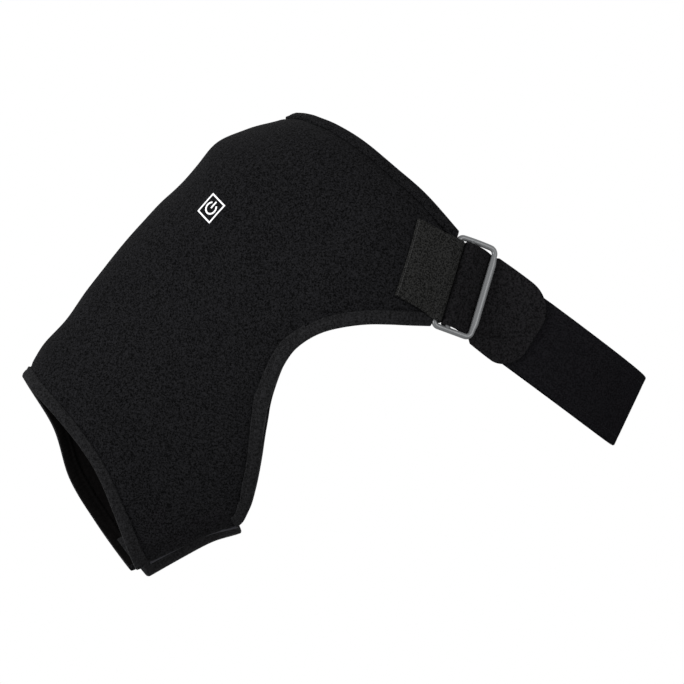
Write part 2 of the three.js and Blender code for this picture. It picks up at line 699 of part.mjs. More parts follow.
// The strap's free end comes up round the middle bar and lies on the strap, under the slide's far bar.
function strapEndTab() {
  const COLUMNS = 4;
  const TIP_STEPS = 6;
  const bend = WIRE_RADIUS + CLEARANCE;
  const under = LAYER_FIRST - CLEARANCE;
  const lines = [bandLine(strapFrame(under), TURN_WIDTH, COLUMNS, STRAP_LOW + STRAP_THICKNESS, STRAP_LOW)];
  rowsFrom(-90, -270, -180 / FOLD_STEPS).forEach((degrees) => {
    const angle = radians(degrees);
    const at = (radius, across) =>
      slidePoint(MIDDLE_BAR + radius * Math.cos(angle), MIDDLE_BAR_HEIGHT + radius * Math.sin(angle), across);
    lines.push(
      acrossBand(TURN_WIDTH, COLUMNS).map((across) => ({
        inner: at(bend, across),
        outer: at(bend + STRAP_THICKNESS, across),
      })),
    );
  });
  const last = SLIDE_SPAN + END_LENGTH;
  const top = MIDDLE_BAR_HEIGHT + bend;
  const tip = rowsFrom(0, 90, 90 / TIP_STEPS).slice(1);
  const tipLengths = tip.map((degrees) => last - END_CORNER * (1 - Math.sin(radians(degrees))));
  [...LAYER_LENGTHS, ...tipLengths].forEach((length) => {
    const down = THREE.MathUtils.smoothstep(length, MIDDLE_BAR, SLIDE_SPAN - WIRE_RADIUS);
    const low = THREE.MathUtils.lerp(top, END_LOW, down);
    const wide = THREE.MathUtils.smoothstep(length, STRAP_STRAIGHT, STRAP_STRAIGHT + END_WIDENS);
    const past = (length - STRAP_STRAIGHT) / (last - STRAP_STRAIGHT);
    const full = THREE.MathUtils.lerp(END_WIDTH, END_NARROW, past);
    const round = Math.max(length - (last - END_CORNER), 0);
    const cut = END_CORNER - Math.sqrt(END_CORNER ** 2 - round ** 2);
    const width = THREE.MathUtils.lerp(TURN_WIDTH, full, wide) - 2 * cut;
    lines.push(bandLine(strapFrame(length), width, COLUMNS, low, low + STRAP_THICKNESS));
  });
  add("strap_end_tab", thicken(gridQuads(lines)), elastic);
}

// Frame of the switch: flat directions on the shell at its middle, the first along the frame's long side
function switchFrame() {
  const centre = shellFrame(SWITCH_PLACE.row, SWITCH_PLACE.share, -1);
  const turn = radians(SWITCH_TURN);
  const flat = new THREE.Vector3(Math.cos(turn), 0, Math.sin(turn));
  const long = flat.addScaledVector(centre.normal, -flat.dot(centre.normal)).normalize();
  const short = new THREE.Vector3().crossVectors(centre.normal, long).normalize();
  return { centre, long, short };
}

const switchPlace = switchFrame();

function onSwitch(a, b) {
  const target = switchPlace.centre.point
    .clone()
    .addScaledVector(switchPlace.long, a)
    .addScaledVector(switchPlace.short, b);
  return nearest(target, switchPlace.centre);
}

// A raised square with round corners and a soft shoulder
function switchPad() {
  const CELLS = 10;
  const places = rowsFrom(-1, 1, 2 / CELLS);
  const grid = places.map((u) =>
    places.map((v) => {
      const round = Math.sqrt(1 - PAD_ROUNDING * (u * v) ** 2);
      const f = onSwitch((u * round * PAD_SIDE) / 2, (v * round * PAD_SIDE) / 2);
      const edge = Math.max(Math.abs(u), Math.abs(v));
      const fall = THREE.MathUtils.smoothstep(edge, PAD_SHOULDER, 1);
      const rise = THREE.MathUtils.lerp(PAD_RISE, PAD_EDGE_RISE, fall);
      return corner(f.point, f.normal, CLEARANCE, CLEARANCE + rise);
    }),
  );
  add("switch_pad", thicken(gridQuads(grid)), plush);
}

function printed(name, grid) {
  const low = 2 * CLEARANCE + PAD_RISE;
  const lines = grid.map((line) =>
    line.map(([a, b]) => {
      const f = onSwitch(a, b);
      return corner(f.point, f.normal, low, low + PRINT_THICKNESS);
    }),
  );
  add(name, thicken(gridQuads(lines)), print);
}

function switchPrint() {
  const ARC_STEPS = 20;
  const corners = [[1, 1], [-1, 1], [-1, -1], [1, -1], [1, 1]];
  const outline = (inset) =>
    corners.slice(1).flatMap(([a, b], n) => {
      const [fromA, fromB] = corners[n];
      const at = (t) => [
        THREE.MathUtils.lerp(fromA, a, t) * (FRAME_LENGTH / 2 - inset),
        THREE.MathUtils.lerp(fromB, b, t) * (FRAME_WIDTH / 2 - inset),
      ];
      return [at(0), at(1 / 3), at(2 / 3)];
    });
  const outside = outline(0);
  const inside = outline(FRAME_LINE);
  printed("switch_frame", [...outside, outside[0]].map((point, n) => [point, inside[n % inside.length]]));
  const arc = evenly(POWER_OPENING / 2, 360 - POWER_OPENING / 2, ARC_STEPS).map((degrees) => {
    const angle = radians(degrees);
    return [POWER_RADIUS - POWER_LINE / 2, POWER_RADIUS + POWER_LINE / 2].map((r) => [
      r * Math.cos(angle),
      r * Math.sin(angle),
    ]);
  });
  printed("power_ring", arc);
  const across = acrossBand(POWER_LINE, 1);
  const bar = evenly(POWER_BAR_FROM, POWER_BAR_TO, 2).map((a) => across.map((b) => [a, b]));
  printed("power_bar", bar);
}

shell();
cuffBinding();
edgeBinding("back_edge_binding", -1);
edgeBinding("front_edge_binding", 1);
neckBinding();
closureTape();
closureStrip();
ringTab();
slideBuckle();
chestStrap();
strapEndTab();
switchPad();
switchPrint();

export default wrap;
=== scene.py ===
"""Looks of the heated shoulder wrap, in metres, in the frame of its solids.

+Z is up as worn, the back panel faces -Y and +X runs from the sleeve to the far side of the strap's loop.
"""
import math

import bpy
import numpy as np
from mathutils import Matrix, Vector
from mathutils.kdtree import KDTree


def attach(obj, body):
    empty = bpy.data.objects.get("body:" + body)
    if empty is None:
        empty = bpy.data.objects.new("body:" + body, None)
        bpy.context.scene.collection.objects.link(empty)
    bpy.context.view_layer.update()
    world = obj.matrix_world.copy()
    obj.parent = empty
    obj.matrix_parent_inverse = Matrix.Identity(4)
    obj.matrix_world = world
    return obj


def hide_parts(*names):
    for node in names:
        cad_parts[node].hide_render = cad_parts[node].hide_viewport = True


MM = 0.001

# Shell
SHELL_WIDTH = 0.340
SHELL_DROP = 0.350
SHELL_DEPTH = 0.106
WALL = 0.004
MOUTH_LEAN = 0.21
MOUTH_FADE = (1, 0.55, 0.2, 0)
MOUTH_BACK = (0.5, 1.3, 1.68, 1.27, 0.63)
MOUTH_FRONT = (0.5, 0.4, 1.38, 1.4, 1.24)
APEX_ROW = 12
FRONT_RISE = 0.008
CLEARANCE = 0.0003
SHELL_COLUMNS = 86
ROWS_BEFORE_APEX = 150
ROWS_PAST_APEX = 72
APEX_CROWDING = 1.5
EDGE_LINE_STEPS = 400
EDGE_LINE_CROWDING = 1.6
ROW_GAP = 0.02
SLOPE_STEP = 0.004
NEAREST_STEPS = 8
JOINING = 1e-7

# Pile, which stands out from the shell's plain face and sinks beside the tape
PILE_RISE = 0.9 * MM
PILE_RISE_WITHIN = 9 * MM
GROOVE_DEPTH = 0.7 * MM
GROOVE_WIDTH = 2.2 * MM
WAVES_WITHIN = 25 * MM
UNDER_TAPE_SINK = 0.2 * MM
UNDER_TAPE_FADE = 3 * MM

# Binding tape
TAPE_WIDTH = 0.0095
TAPE_THICKNESS = 0.0009
OVER_TAPE = 2 * CLEARANCE + TAPE_THICKNESS
TAPE_SWELL = 0.45 * MM
TAPE_SWELL_FROM = 0.3
TAPE_LIP = 0.05
SEAM_GROOVE = 0.35 * MM
SEAM_PLACE = 0.24
SEAM_SPREAD = 0.09
PUCKER_HEIGHT = 0.14 * MM
PUCKER_LENGTH = 3.4 * MM
PUCKER_DRIFT = 1.5
PUCKER_DRIFT_RATE = 90
PUCKER_END = 0.9
LEG_STEPS = 14
FOLD_STEPS = 9
CUFF_STEPS = 240
EDGE_STEPS = 360
EDGE_START_ROW = 3
NECK_STEPS = 200
NECK_CROWDING = 1.8
NECK_TURN = (0.6, 1.4)

# Stitches: pitch, length and thread radius, and the thread's shape as shares of its radius
STITCH_PITCH = 2.9 * MM
STITCH_LENGTH = 2.2 * MM
THREAD_RADIUS = 0.22 * MM
THREAD_ARCH = 1.2
THREAD_DIP = 0.4
THREAD_TIP = 0.02
STITCH_SINK = 0.25 * MM
STITCH_RINGS = 7
STITCH_SIDES = 6

# Closure under the arm
STRIP_START_ROW = 0.2
STRIP_END_ROW = 2.95
STRIP_LAP = 0.024
STRIP_BRIDGE = (0.34, 0.95)
STRIP_THICKNESS = 0.003
STRIP_BULGE = 0.006
STRIP_TAPER = 0.4
HOOK_WIDTH = 0.018
HOOK_SHOWS = 0.0096
HOOK_THICKNESS = 0.0008
HOOK_ROWS = 60
HOOK_COLUMNS = 12
STRIP_ROWS = 70
STRIP_COLUMNS = 24
STRIP_ROUNDING = 0.06
STRIP_END_THICKNESS = 0.05

# Slide, a frame of round wire with a middle bar
WIRE_RADIUS = 0.0022
SLIDE_LENGTH = 0.0725
SLIDE_SPAN = 0.0295
SLIDE_CORNER = 0.0045
HIDDEN_CORNER = 0.0034
FAR_BAR_WIDTH = 0.0056
FAR_BAR_SHIFT = 0.0006
FAR_BAR_FADE = 0.008
SLIDE_BOW = 0.0005
WIRE_SIDES = 24
WIRE_STEPS = 260
CORNER_STEPS = 14
MIDDLE_BAR_STEPS = 9
MIDDLE_BAR = 0.0108
SLIDE_SETBACK = 0.0035
SLIDE_SINK = 0.0014

# Webbing tab
WEBBING_WIDTH = 0.064
WEBBING_THICKNESS = 0.0016
FOLD_WIDTH = 0.0662
WEBBING_SPREAD = 0.012
WEBBING_OUTSIDE = 0.038
WEBBING_INSIDE = 0.025
WEBBING_SKEW = 0.12
WEBBING_SLACK = 0.0009
WEBBING_OUTSIDE_ROWS = 60
WEBBING_INSIDE_ROWS = 40
WEBBING_FOLD_ROWS = 33
WEBBING_END_THICKNESS = 0.3
WEBBING_SEAM_INSET = 1.6 * MM
WEBBING_SEAM_REACH = 0.49
WEBBING_SEAM_STEPS = 80
WEBBING_STITCH = (2.0 * MM, 1.9 * MM)

# Rounded edges of webbing and strap
BAND_COLUMNS = 61
BAND_CROWDING = 0.35
BAND_ROUNDING = 0.6
BAND_EDGE = 0.02

# Elastic strap
STRAP_WIDTH = 0.059
STRAP_THICKNESS = 0.0022
STRAP_REACH = 0.1467
STRAP_FALL = 0.0985
STRAP_ROUNDNESS = 2.4
STRAP_DROP = 0.0027
STRAP_LAP = 0.045
STRAP_RAMP = 0.045
STRAP_ANGLE = 56
STRAP_SIDE_ANGLE = 65
STRAP_HEM = 0.007
HEM_DEPTH = 0.28 * MM
HEM_WIDTH = 0.9 * MM
HEM_START = 4 * MM
HEM_STEPS = 300
HEM_STITCH = (2.4 * MM, 1.9 * MM, 0.15 * MM)
DROP_BEFORE_BAR = 8 * MM
DROP_PAST_BAR = 6 * MM
LAYER_START = 5 * MM
COURSE_STEPS = 400
COURSE_CROWDING = 1.4
COURSE_REACH = 1.5 * MM
SIDE_REACH = 1 * MM
STRAP_COLUMNS = 69
STRAP_BACK_ROWS = 240
STRAP_FRONT_ROWS = 250
STRAP_LAP_ROWS = 50
LAP_SEAMS = (3 * MM, 41 * MM)
LAP_SEAM_REACH = 0.47
LAP_SEAM_STEPS = 60
TURN_WIDTH = 0.0677
TURN_SLACK = 0.0013
END_WIDTH = 0.071
END_NARROW = 0.065
END_LENGTH = 0.053
END_CORNER = 0.022
END_START = 0.5 * MM
END_WIDENS = 3 * MM
END_ROWS = 110
TURN_ROWS = 36
TIP_ROWS = 40
TIP_ROUNDING = 1.2 * MM
TIP_THICKNESS = 0.05

# Switch
SWITCH_ROW = 8.27
SWITCH_SHARE = 0.395
SWITCH_TURN = 43
PAD_SIDE = 0.031
PAD_RISE = 0.0026
PAD_ROUNDING = 0.22
PAD_SQUARENESS = 5
PAD_SHOULDER = (1.08, 0.55)
PAD_SKIRT = 1.2 * MM
PAD_SKIRT_FROM = (0.85, 1.05)
PAD_DEPTH = 2 * MM
PAD_STEPS = 61
FRAME_LENGTH = 0.0183
FRAME_WIDTH = 0.0165
FRAME_LINE = 0.0012
FRAME_STEPS = 24
PRINT_THICKNESS = 0.0004
PRINT_SINK = 0.2 * MM
PRINT_COLUMNS = 4
POWER_RADIUS = 0.0046
POWER_LINE = 0.0013
POWER_OPENING = 70
POWER_RING_STEPS = 90
POWER_BAR_REACH = 1.35
POWER_BAR_STEPS = 16

# Cloth textures: the share of the coarse noise, the noise values of the darkest and lightest spots, and the
# weave's noise for each metre
COARSE_SHARE = 0.35
DARKEST_AT = 0.4
LIGHTEST_AT = 0.6
WEAVE_NOISE = 900.0

# Camera and stage
CAMERA_PLACE = (0.075, -2.4, -0.1628)
CAMERA_LENS = 161.4
CAMERA_CLIP = 40
FLOOR_LEVEL = -0.6
FLOOR_RADIUS = 1.4
FLOOR_TONE = 0.5
FLOOR_SIDES = 96
# Lights: name, place, size in metres and power in watts
LIGHTS = (
    ("key", (-1.9, -1.2, 0.3), 0.9, 60),
    ("fill", (1.6, -1.8, 0.2), 1.0, 22),
)
LIGHT_AIM = (0.05, 0, -0.15)

# Sections of the shell, from the sleeve mouth to the slide: the shoulder's ridge (x, z) and the panel's lower
# edge (x, z) as shares of the width and drop, the depth as a share, and the start and end angle in degrees.
SECTIONS = np.array([
    [-0.5125, -0.5425, -0.254, -0.972, 0.434, 0, 153],
    [-0.46, -0.468, -0.164, -0.926, 0.453, 0, 155],
    [-0.4035, -0.4045, -0.09, -0.893, 0.472, 0, 156],
    [-0.353, -0.34, -0.021, -0.873, 0.5, 0, 155],
    [-0.3075, -0.2795, 0.004, -0.843, 0.528, 0, 150],
    [-0.262, -0.225, 0.018, -0.8, 0.566, 0, 143],
    [-0.21, -0.17, 0.031, -0.738, 0.613, 0, 136],
    [-0.161, -0.123, 0.04, -0.68, 0.66, 0, 129],
    [-0.115, -0.0695, 0.048, -0.627, 0.708, 0, 122],
    [-0.065, -0.0195, 0.062, -0.576, 0.745, 0, 116],
    [0, 0.009, 0.083, -0.524, 0.783, 0, 110],
    [0.061, 0.0245, 0.107, -0.487, 0.821, 0, 105],
    [0.117, 0.0425, 0.141, -0.459, 0.858, 0, 101],
    [0.156, 0.047, 0.177, -0.442, 0.9, 14, 98],
    [0.207, 0.042, 0.223, -0.431, 0.925, 22, 97],
    [0.272, 0.0285, 0.275, -0.425, 0.945, 31, 96],
    [0.3465, -0.007, 0.324, -0.425, 0.945, 38, 95],
    [0.429, -0.044, 0.37, -0.427, 0.905, 45, 93],
    [0.517, -0.114, 0.417, -0.4285, 0.825, 51, 92],
])
LAST_ROW = len(SECTIONS) - 1
DEPTH, START, END = 4, 5, 6

# Dents in the back of the shell: the middle (x, z), the direction of the long axis in degrees, half the
# length, half the width and the depth.
DENTS = (
    (0.068, -0.079, 20, 0.016, 0.010, 0.0030),
    (-0.018, -0.168, 55, 0.019, 0.004, 0.0016),
    (-0.018, -0.090, 50, 0.016, 0.007, 0.0022),
    (-0.004, -0.060, -40, 0.014, 0.006, 0.0016),
    (0.030, -0.130, 35, 0.030, 0.012, 0.0014),
    (-0.080, -0.215, -25, 0.030, 0.008, 0.0012),
)
# Long soft waves of the cloth: direction (x, y, z), length from crest to crest, height and shift
WAVES = (
    ((0.8, 0.3, -0.5), 0.083, 0.0006, 0.4),
    ((0.3, -0.6, 0.8), 0.061, 0.0005, 2.1),
    ((-0.5, 0.2, 0.9), 0.118, 0.0008, 4.0),
    ((0.9, 0.5, 0.4), 0.047, 0.0003, 5.2),
)


def unit(v):
    """Vectors of length 1 in the same directions."""
    return v / np.linalg.norm(v, axis=-1, keepdims=True)


def lerp(a, b, t):
    """The value a share t of the way from a to b."""
    return a + (b - a) * t


def smoothstep(x, low, high):
    """Rises smoothly from 0 at low to 1 at high."""
    t = np.clip((np.asarray(x, float) - low) / (high - low), 0, 1)
    return t * t * (3 - 2 * t)


def lengths_along(line):
    """Length along a line of points up to each of them."""
    return np.concatenate([[0], np.cumsum(np.linalg.norm(np.diff(line, axis=0), axis=1))])


def between(values, place):
    """Values at places between evenly spaced ones, on a smooth line through them all."""
    values = np.asarray(values, float)
    last = len(values) - 1
    k = np.clip(np.floor(place).astype(int), 0, last - 1)
    t = (place - k).reshape(place.shape + (1,) * (values.ndim - 1))
    before, first, second, after = (values[np.clip(k + step, 0, last)] for step in (-1, 0, 1, 2))
    slope = (second - before) * t
    bend = (2 * before - 5 * first + 4 * second - after) * t**2
    twist = (3 * (first - second) + after - before) * t**3
    return first + (slope + bend + twist) / 2


def section(row):
    """Ridge, edge, depth, start and end angle of the sections at these rows."""
    s = between(SECTIONS, row)
    past = np.clip(row - APEX_ROW, 0, 1)
    start = np.where(row < APEX_ROW + 1, SECTIONS[APEX_ROW + 1, START] * np.sqrt(past), s[..., START])
    size = np.array([SHELL_WIDTH, SHELL_DROP])
    return (
        s[..., 0:2] * size,
        s[..., 2:4] * size,
        s[..., DEPTH] * SHELL_DEPTH,
        np.radians(start),
        np.radians(s[..., END]),
    )


def raised_front(point):
    """The front of the wrap sits a little higher than the back."""
    rise = FRONT_RISE * (np.clip(point[..., 1], 0, None) / SHELL_DEPTH) ** 2
    return point + rise[..., None] * (0, 0, 1)


def mirrored(point):
    """The place on the front that matches one on the back."""
    return raised_front(point * (1, -1, 1))


def shell_point(row, share, side):
    """Points of the shell's outer face: share runs from 0 at the top to 1 at the lower edge."""
    row, share, side = np.broadcast_arrays(*(np.asarray(v, float) for v in (row, share, side)))
    ridge, edge, depth, start, end = section(row)
    angle = start + (end - start) * share
    along = (1 - np.cos(angle)) / (1 - np.cos(end))
    y = side * depth * np.sin(angle)
    fade = between(MOUTH_FADE, np.minimum(row, len(MOUTH_FADE) - 1))
    outward = unit(edge - ridge)[..., ::-1] * (1, -1)
    shape = np.where(side < 0, *(between(v, along * (len(v) - 1)) for v in (MOUTH_BACK, MOUTH_FRONT)))
    lean = MOUTH_LEAN * fade * y * shape
    flat = lerp(ridge, edge, along[..., None]) + outward * lean[..., None]
    return raised_front(np.stack([flat[..., 0], y, flat[..., 1]], -1))


def shell_frame(row, share, side):
    """Points of the outer face, outward normals, and the directions along the rows and down the section."""
    point = shell_point(row, share, side)
    along_row = shell_point(row + SLOPE_STEP, share, side) - shell_point(row - SLOPE_STEP, share, side)
    along_row = along_row / (2 * SLOPE_STEP)
    down = shell_point(row, share + SLOPE_STEP, side) - shell_point(row, share - SLOPE_STEP, side)
    down = down / (2 * SLOPE_STEP)
    normal = -np.asarray(side, float)[..., None] * unit(np.cross(down, along_row))
    return point, normal, along_row, down


def cuff_row():
    """The row where the cuff's tape ends, at its width from the mouth."""
    mouth, first = shell_point([0, 1], 0.5, -1)
    return TAPE_WIDTH / np.linalg.norm(first - mouth)


CUFF_ROW = cuff_row()


def nearest(target, row, share, side):
    """Rows and shares of the outer face nearest to the targets, found in a few steps."""
    row = np.full(target.shape[:-1], row, float)
    share = np.full(target.shape[:-1], share, float)
    side = np.full(target.shape[:-1], side, float)
    for _ in range(NEAREST_STEPS):
        point, _, r, d = shell_frame(row, share, side)
        miss = target - point
        a, b, c = (r * r).sum(-1), (r * d).sum(-1), (d * d).sum(-1)
        u, v = (miss * r).sum(-1), (miss * d).sum(-1)
        det = a * c - b * b
        row = row + (c * u - b * v) / det
        share = share + (a * v - b * u) / det
    return row, share, side


def closed_piece(name, grids, material, uvs=None, lining_and_shade=None):
    """One closed mesh from grids of outer and inner points, its inner faces given the darker lining material,
    partly painted shade, where one is given.

    Points that meet are joined.
    """
    outer = np.concatenate([o.reshape(-1, 3) for o, _ in grids])
    inner = np.concatenate([i.reshape(-1, 3) for _, i in grids])
    key = np.round(outer / JOINING).astype(np.int64)
    _, first, ids = np.unique(key, axis=0, return_index=True, return_inverse=True)
    ids = ids.reshape(-1)
    quads = []
    offset = 0
    for o, _ in grids:
        n, m = o.shape[:2]
        grid = ids[offset : offset + n * m].reshape(n, m)
        offset += n * m
        quad = np.stack([grid[:-1, :-1], grid[:-1, 1:], grid[1:, 1:], grid[1:, :-1]], -1)
        quads.append(quad.reshape(-1, 4))
    quads = np.concatenate(quads)
    count = len(first)
    a, b = quads, np.roll(quads, -1, axis=1)
    code = (a.astype(np.int64) * count + b).ravel()
    back = (b.astype(np.int64) * count + a).ravel()
    free = ~np.isin(back, code)
    a, b = a.ravel()[free], b.ravel()[free]
    walls = np.stack([b, a, a + count, b + count], -1)
    faces = np.concatenate([quads, quads[:, ::-1] + count, walls])
    points = np.concatenate([outer[first], inner[first]])
    p = points[faces]
    volume = (p[:, 0] * np.cross(p[:, 1] - p[:, 0], p[:, 2] - p[:, 0])).sum()
    volume += (p[:, 0] * np.cross(p[:, 2] - p[:, 0], p[:, 3] - p[:, 0])).sum()
    if volume < 0:
        faces = faces[:, ::-1]
    flat = None
    if uvs is not None:
        flat = np.concatenate([u.reshape(-1, 2) for u in uvs])[first]
        flat = np.concatenate([flat, flat])
    piece = mesh_object(name, points, faces.tolist(), material, flat)
    if lining_and_shade:
        line(piece, lining_and_shade, np.arange(len(faces)) // len(quads) == 1)
    return piece


def line(piece, lining_and_shade, lining_and_shade_faces):
    """Gives the first of a piece's faces, as many as the mask has, the darker lining material, partly painted
    shade, where the mask is true.
    """
    piece.data.materials.append(lining_and_shade)
    slots = np.zeros(len(piece.data.polygons), np.int32)
    slots[: len(lining_and_shade_faces)] = lining_and_shade_faces
    piece.data.polygons.foreach_set("material_index", slots)


def mesh_object(name, points, faces, material, uv=None):
    """A smooth mesh from points and lists of point numbers, with flat coordinates where they are given."""
    mesh = bpy.data.meshes.new(name)
    mesh.from_pydata(points.tolist(), [], faces)
    mesh.polygons.foreach_set("use_smooth", [True] * len(mesh.polygons))
    if uv is not None:
        loops = np.empty(len(mesh.loops), int)
        mesh.loops.foreach_get("vertex_index", loops)
        mesh.uv_layers.new(name="weave").data.foreach_set("uv", uv[loops].ravel())
    mesh.materials.append(material)
    mesh.update()
    piece = bpy.data.objects.new(name, mesh)
    bpy.context.scene.collection.objects.link(piece)
    return piece


def settle(piece, slot, *nodes):
    """The piece rides on the wrap and stands for the nodes, which it hides; slot is not used."""
    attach(piece, "root")
    if nodes:
        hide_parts(*nodes)


def new_material(name, color, roughness, metallic=0.0, specular=0.1, sheen=0.0):
    """A material of one colour."""
    material = bpy.data.materials.new(name)
    material.use_nodes = True
    shader = material.node_tree.nodes["Principled BSDF"]
    shader.inputs["Base Color"].default_value = (*color, 1)
    shader.inputs["Roughness"].default_value = roughness
    shader.inputs["Metallic"].default_value = metallic
    shader.inputs["Specular IOR Level"].default_value = specular
    shader.inputs["Sheen Weight"].default_value = sheen
    shader.inputs["Sheen Roughness"].default_value = 0.5
    return material


def add_node(material, kind, **values):
    """A new shader node with the values set on its inputs, or on the node itself for names it has."""
    node = material.node_tree.nodes.new(kind)
    for name, value in values.items():
        if hasattr(node, name):
            setattr(node, name, value)
        else:
            node.inputs[name.replace("_", " ").title()].default_value = value
    return node


def link(material, source, output, target, entry):
    """Joins an output of one shader node to an input of another."""
    material.node_tree.links.new(source.outputs[output], target.inputs[entry])


def grain(material, scales, strength, distance, contrast):
    """Bump and slight mottling from two sizes of noise, over object coordinates."""
    shader = material.node_tree.nodes["Principled BSDF"]
    coordinates = add_node(material, "ShaderNodeTexCoord")
    fine = add_node(material, "ShaderNodeTexNoise", scale=scales[0], detail=2.0, roughness=0.6)
    coarse = add_node(material, "ShaderNodeTexNoise", scale=scales[1], detail=1.0, roughness=0.5)
    link(material, coordinates, "Object", fine, "Vector")
    link(material, coordinates, "Object", coarse, "Vector")
    both = add_node(material, "ShaderNodeMix", data_type="FLOAT")
    both.inputs["Factor"].default_value = COARSE_SHARE
    link(material, fine, "Fac", both, 2)
    link(material, coarse, "Fac", both, 3)
    bump = add_node(material, "ShaderNodeBump", strength=strength, distance=distance)
    link(material, both, 0, bump, "Height")
    link(material, bump, "Normal", shader, "Normal")
    tinted(material, both, 0, contrast)
    return material


def tinted(material, source, output, contrast):
    """Mottles the base colour by a value between 0 and 1, lighter and darker by the same factor."""
    shader = material.node_tree.nodes["Principled BSDF"]
    base = tuple(shader.inputs["Base Color"].default_value)
    tint = add_node(material, "ShaderNodeMapRange")
    tint.inputs["From Min"].default_value = DARKEST_AT
    tint.inputs["From Max"].default_value = LIGHTEST_AT
    tint.inputs["To Min"].default_value = 2 / (1 + contrast**2)
    tint.inputs["To Max"].default_value = 2 * contrast**2 / (1 + contrast**2)
    link(material, source, output, tint, "Value")
    scaled = add_node(material, "ShaderNodeVectorMath", operation="SCALE")
    scaled.inputs[0].default_value = base[:3]
    link(material, tint, "Result", scaled, "Scale")
    link(material, scaled, "Vector", shader, "Base Color")


def woven(material, pitch, strength, distance, contrast):
    """Bump from a plain weave of the given pitch (along, across), over the piece's flat coordinates."""
    shader = material.node_tree.nodes["Principled BSDF"]
    coordinates = add_node(material, "ShaderNodeUVMap", uv_map="weave")
    split = add_node(material, "ShaderNodeSeparateXYZ")
    link(material, coordinates, "UV", split, "Vector")
    waves = []
    for axis, size in zip("XY", pitch):
        turn = add_node(material, "ShaderNodeMath", operation="MULTIPLY")
        turn.inputs[1].default_value = math.tau / size
        link(material, split, axis, turn, 0)
        wave = add_node(material, "ShaderNodeMath", operation="SINE")
        link(material, turn, 0, wave, 0)
        waves.append(wave)
    cross = add_node(material, "ShaderNodeMath", operation="MULTIPLY")
    link(material, waves[0], 0, cross, 0)
    link(material, waves[1], 0, cross, 1)
    noise = add_node(material, "ShaderNodeTexNoise", scale=WEAVE_NOISE, detail=2.0)
    place = add_node(material, "ShaderNodeTexCoord")
    link(material, place, "Object", noise, "Vector")
    total = add_node(material, "ShaderNodeMath", operation="ADD")
    link(material, cross, 0, total, 0)
    link(material, noise, "Fac", total, 1)
    bump = add_node(material, "ShaderNodeBump", strength=strength, distance=distance)
    link(material, total, 0, bump, "Height")
    link(material, bump, "Normal", shader, "Normal")
    tinted(material, noise, "Fac", contrast)
    return material


def make_materials():
    """All the finishes, by short name."""
    return {
        "plush": grain(
            new_material("black_pile", (0.0046, 0.0046, 0.0051), 0.95, specular=0.02, sheen=0.01),
            scales=(1000.0, 600.0), strength=1.0, distance=0.9 * MM, contrast=3.6,
        ),
        # Darker than the pile: a lining inside the shell, partly painted shade where light does not reach the
        # inside of the sleeve; on the cuff tape's inner leg it is painted shade
        "lining_and_shade": grain(
            new_material("black_lining_and_painted_shade", (0.0022, 0.0020, 0.0020), 0.95, specular=0.01),
            scales=(900.0, 300.0), strength=0.6, distance=0.4 * MM, contrast=1.3,
        ),
        "tape": grain(
            new_material("knit_tape", (0.0066, 0.0066, 0.0071), 0.85, specular=0.03, sheen=0.02),
            scales=(1100.0, 500.0), strength=0.8, distance=0.5 * MM, contrast=2.4,
        ),
        "webbing": woven(
            new_material("grey_black_webbing", (0.0101, 0.0101, 0.0098), 0.85, specular=0.04),
            pitch=(1.6 * MM, 1.2 * MM), strength=0.8, distance=0.2 * MM, contrast=2.6,
        ),
        "elastic": woven(
            new_material("smooth_elastic", (0.0046, 0.0045, 0.0052), 0.8, specular=0.0),
            pitch=(1.4 * MM, 0.9 * MM), strength=0.35, distance=0.1 * MM, contrast=1.5,
        ),
        "brushed": grain(
            new_material("brushed_elastic", (0.0058, 0.0056, 0.0061), 0.95, specular=0.0, sheen=0.01),
            scales=(900.0, 500.0), strength=0.6, distance=0.4 * MM, contrast=2.0,
        ),
        "thread": new_material("black_thread", (0.009, 0.009, 0.0095), 0.6, specular=0.05),
        "light_thread": new_material("grey_thread", (0.03, 0.03, 0.03), 0.6),
        "hook_tape": new_material("hook_tape_edge", (0.022, 0.022, 0.027), 0.7),
        "gunmetal": new_material("gunmetal_wire", (0.1, 0.103, 0.106), 0.35, metallic=0.3, specular=0.5),
        "print": new_material("light_print", (0.65, 0.65, 0.66), 0.6),
    }


def edge_lines():
    """Lines of points along every bound edge of the shell."""
    fine = np.linspace(0, 1, EDGE_LINE_STEPS)
    lower = lerp(STRIP_END_ROW, LAST_ROW, fine)
    neck = lerp(APEX_ROW, LAST_ROW, fine**EDGE_LINE_CROWDING)
    lines = []
    for side in (-1, 1):
        lines.append(shell_point(0 * fine, fine, side))
        lines.append(shell_point(lower, 1, side))
        lines.append(shell_point(neck, 0, side))
    return np.concatenate(lines)


def edge_distance(points):
    """Distance from each point to the nearest bound edge."""
    line = edge_lines()
    tree = KDTree(len(line))
    for n, p in enumerate(line.tolist()):
        tree.insert(p, n)
    tree.balance()
    flat = points.reshape(-1, 3).tolist()
    return np.array([tree.find(p)[2] for p in flat]).reshape(points.shape[:-1])


def relief(point, distance):
    """How far the pile stands out from the shell's plain face."""
    past = distance - TAPE_WIDTH
    height = PILE_RISE * (1 - np.exp(-np.clip(past, 0, None) / PILE_RISE_WITHIN))
    height -= GROOVE_DEPTH * np.exp(-((past / GROOVE_WIDTH) ** 2))
    open_ground = smoothstep(past, 0, WAVES_WITHIN)
    for direction, length, size, shift in WAVES:
        turn = math.tau / length * (point @ np.array(direction)) + shift
        height = height + size * open_ground * np.sin(turn)
    for x, z, degrees, half_length, half_width, depth in DENTS:
        angle = math.radians(degrees)
        dx, dz = point[..., 0] - x, point[..., 2] - z
        a = (dx * math.cos(angle) + dz * math.sin(angle)) / half_length
        b = (dz * math.cos(angle) - dx * math.sin(angle)) / half_width
        height = height - depth * np.exp(-(a * a + b * b)) * (point[..., 1] < 0)
    under_tape = smoothstep(distance, TAPE_WIDTH, TAPE_WIDTH - UNDER_TAPE_FADE)
    height = np.where(past < 0, np.minimum(height, 0), height)
    return height * (1 - under_tape) - UNDER_TAPE_SINK * under_tape


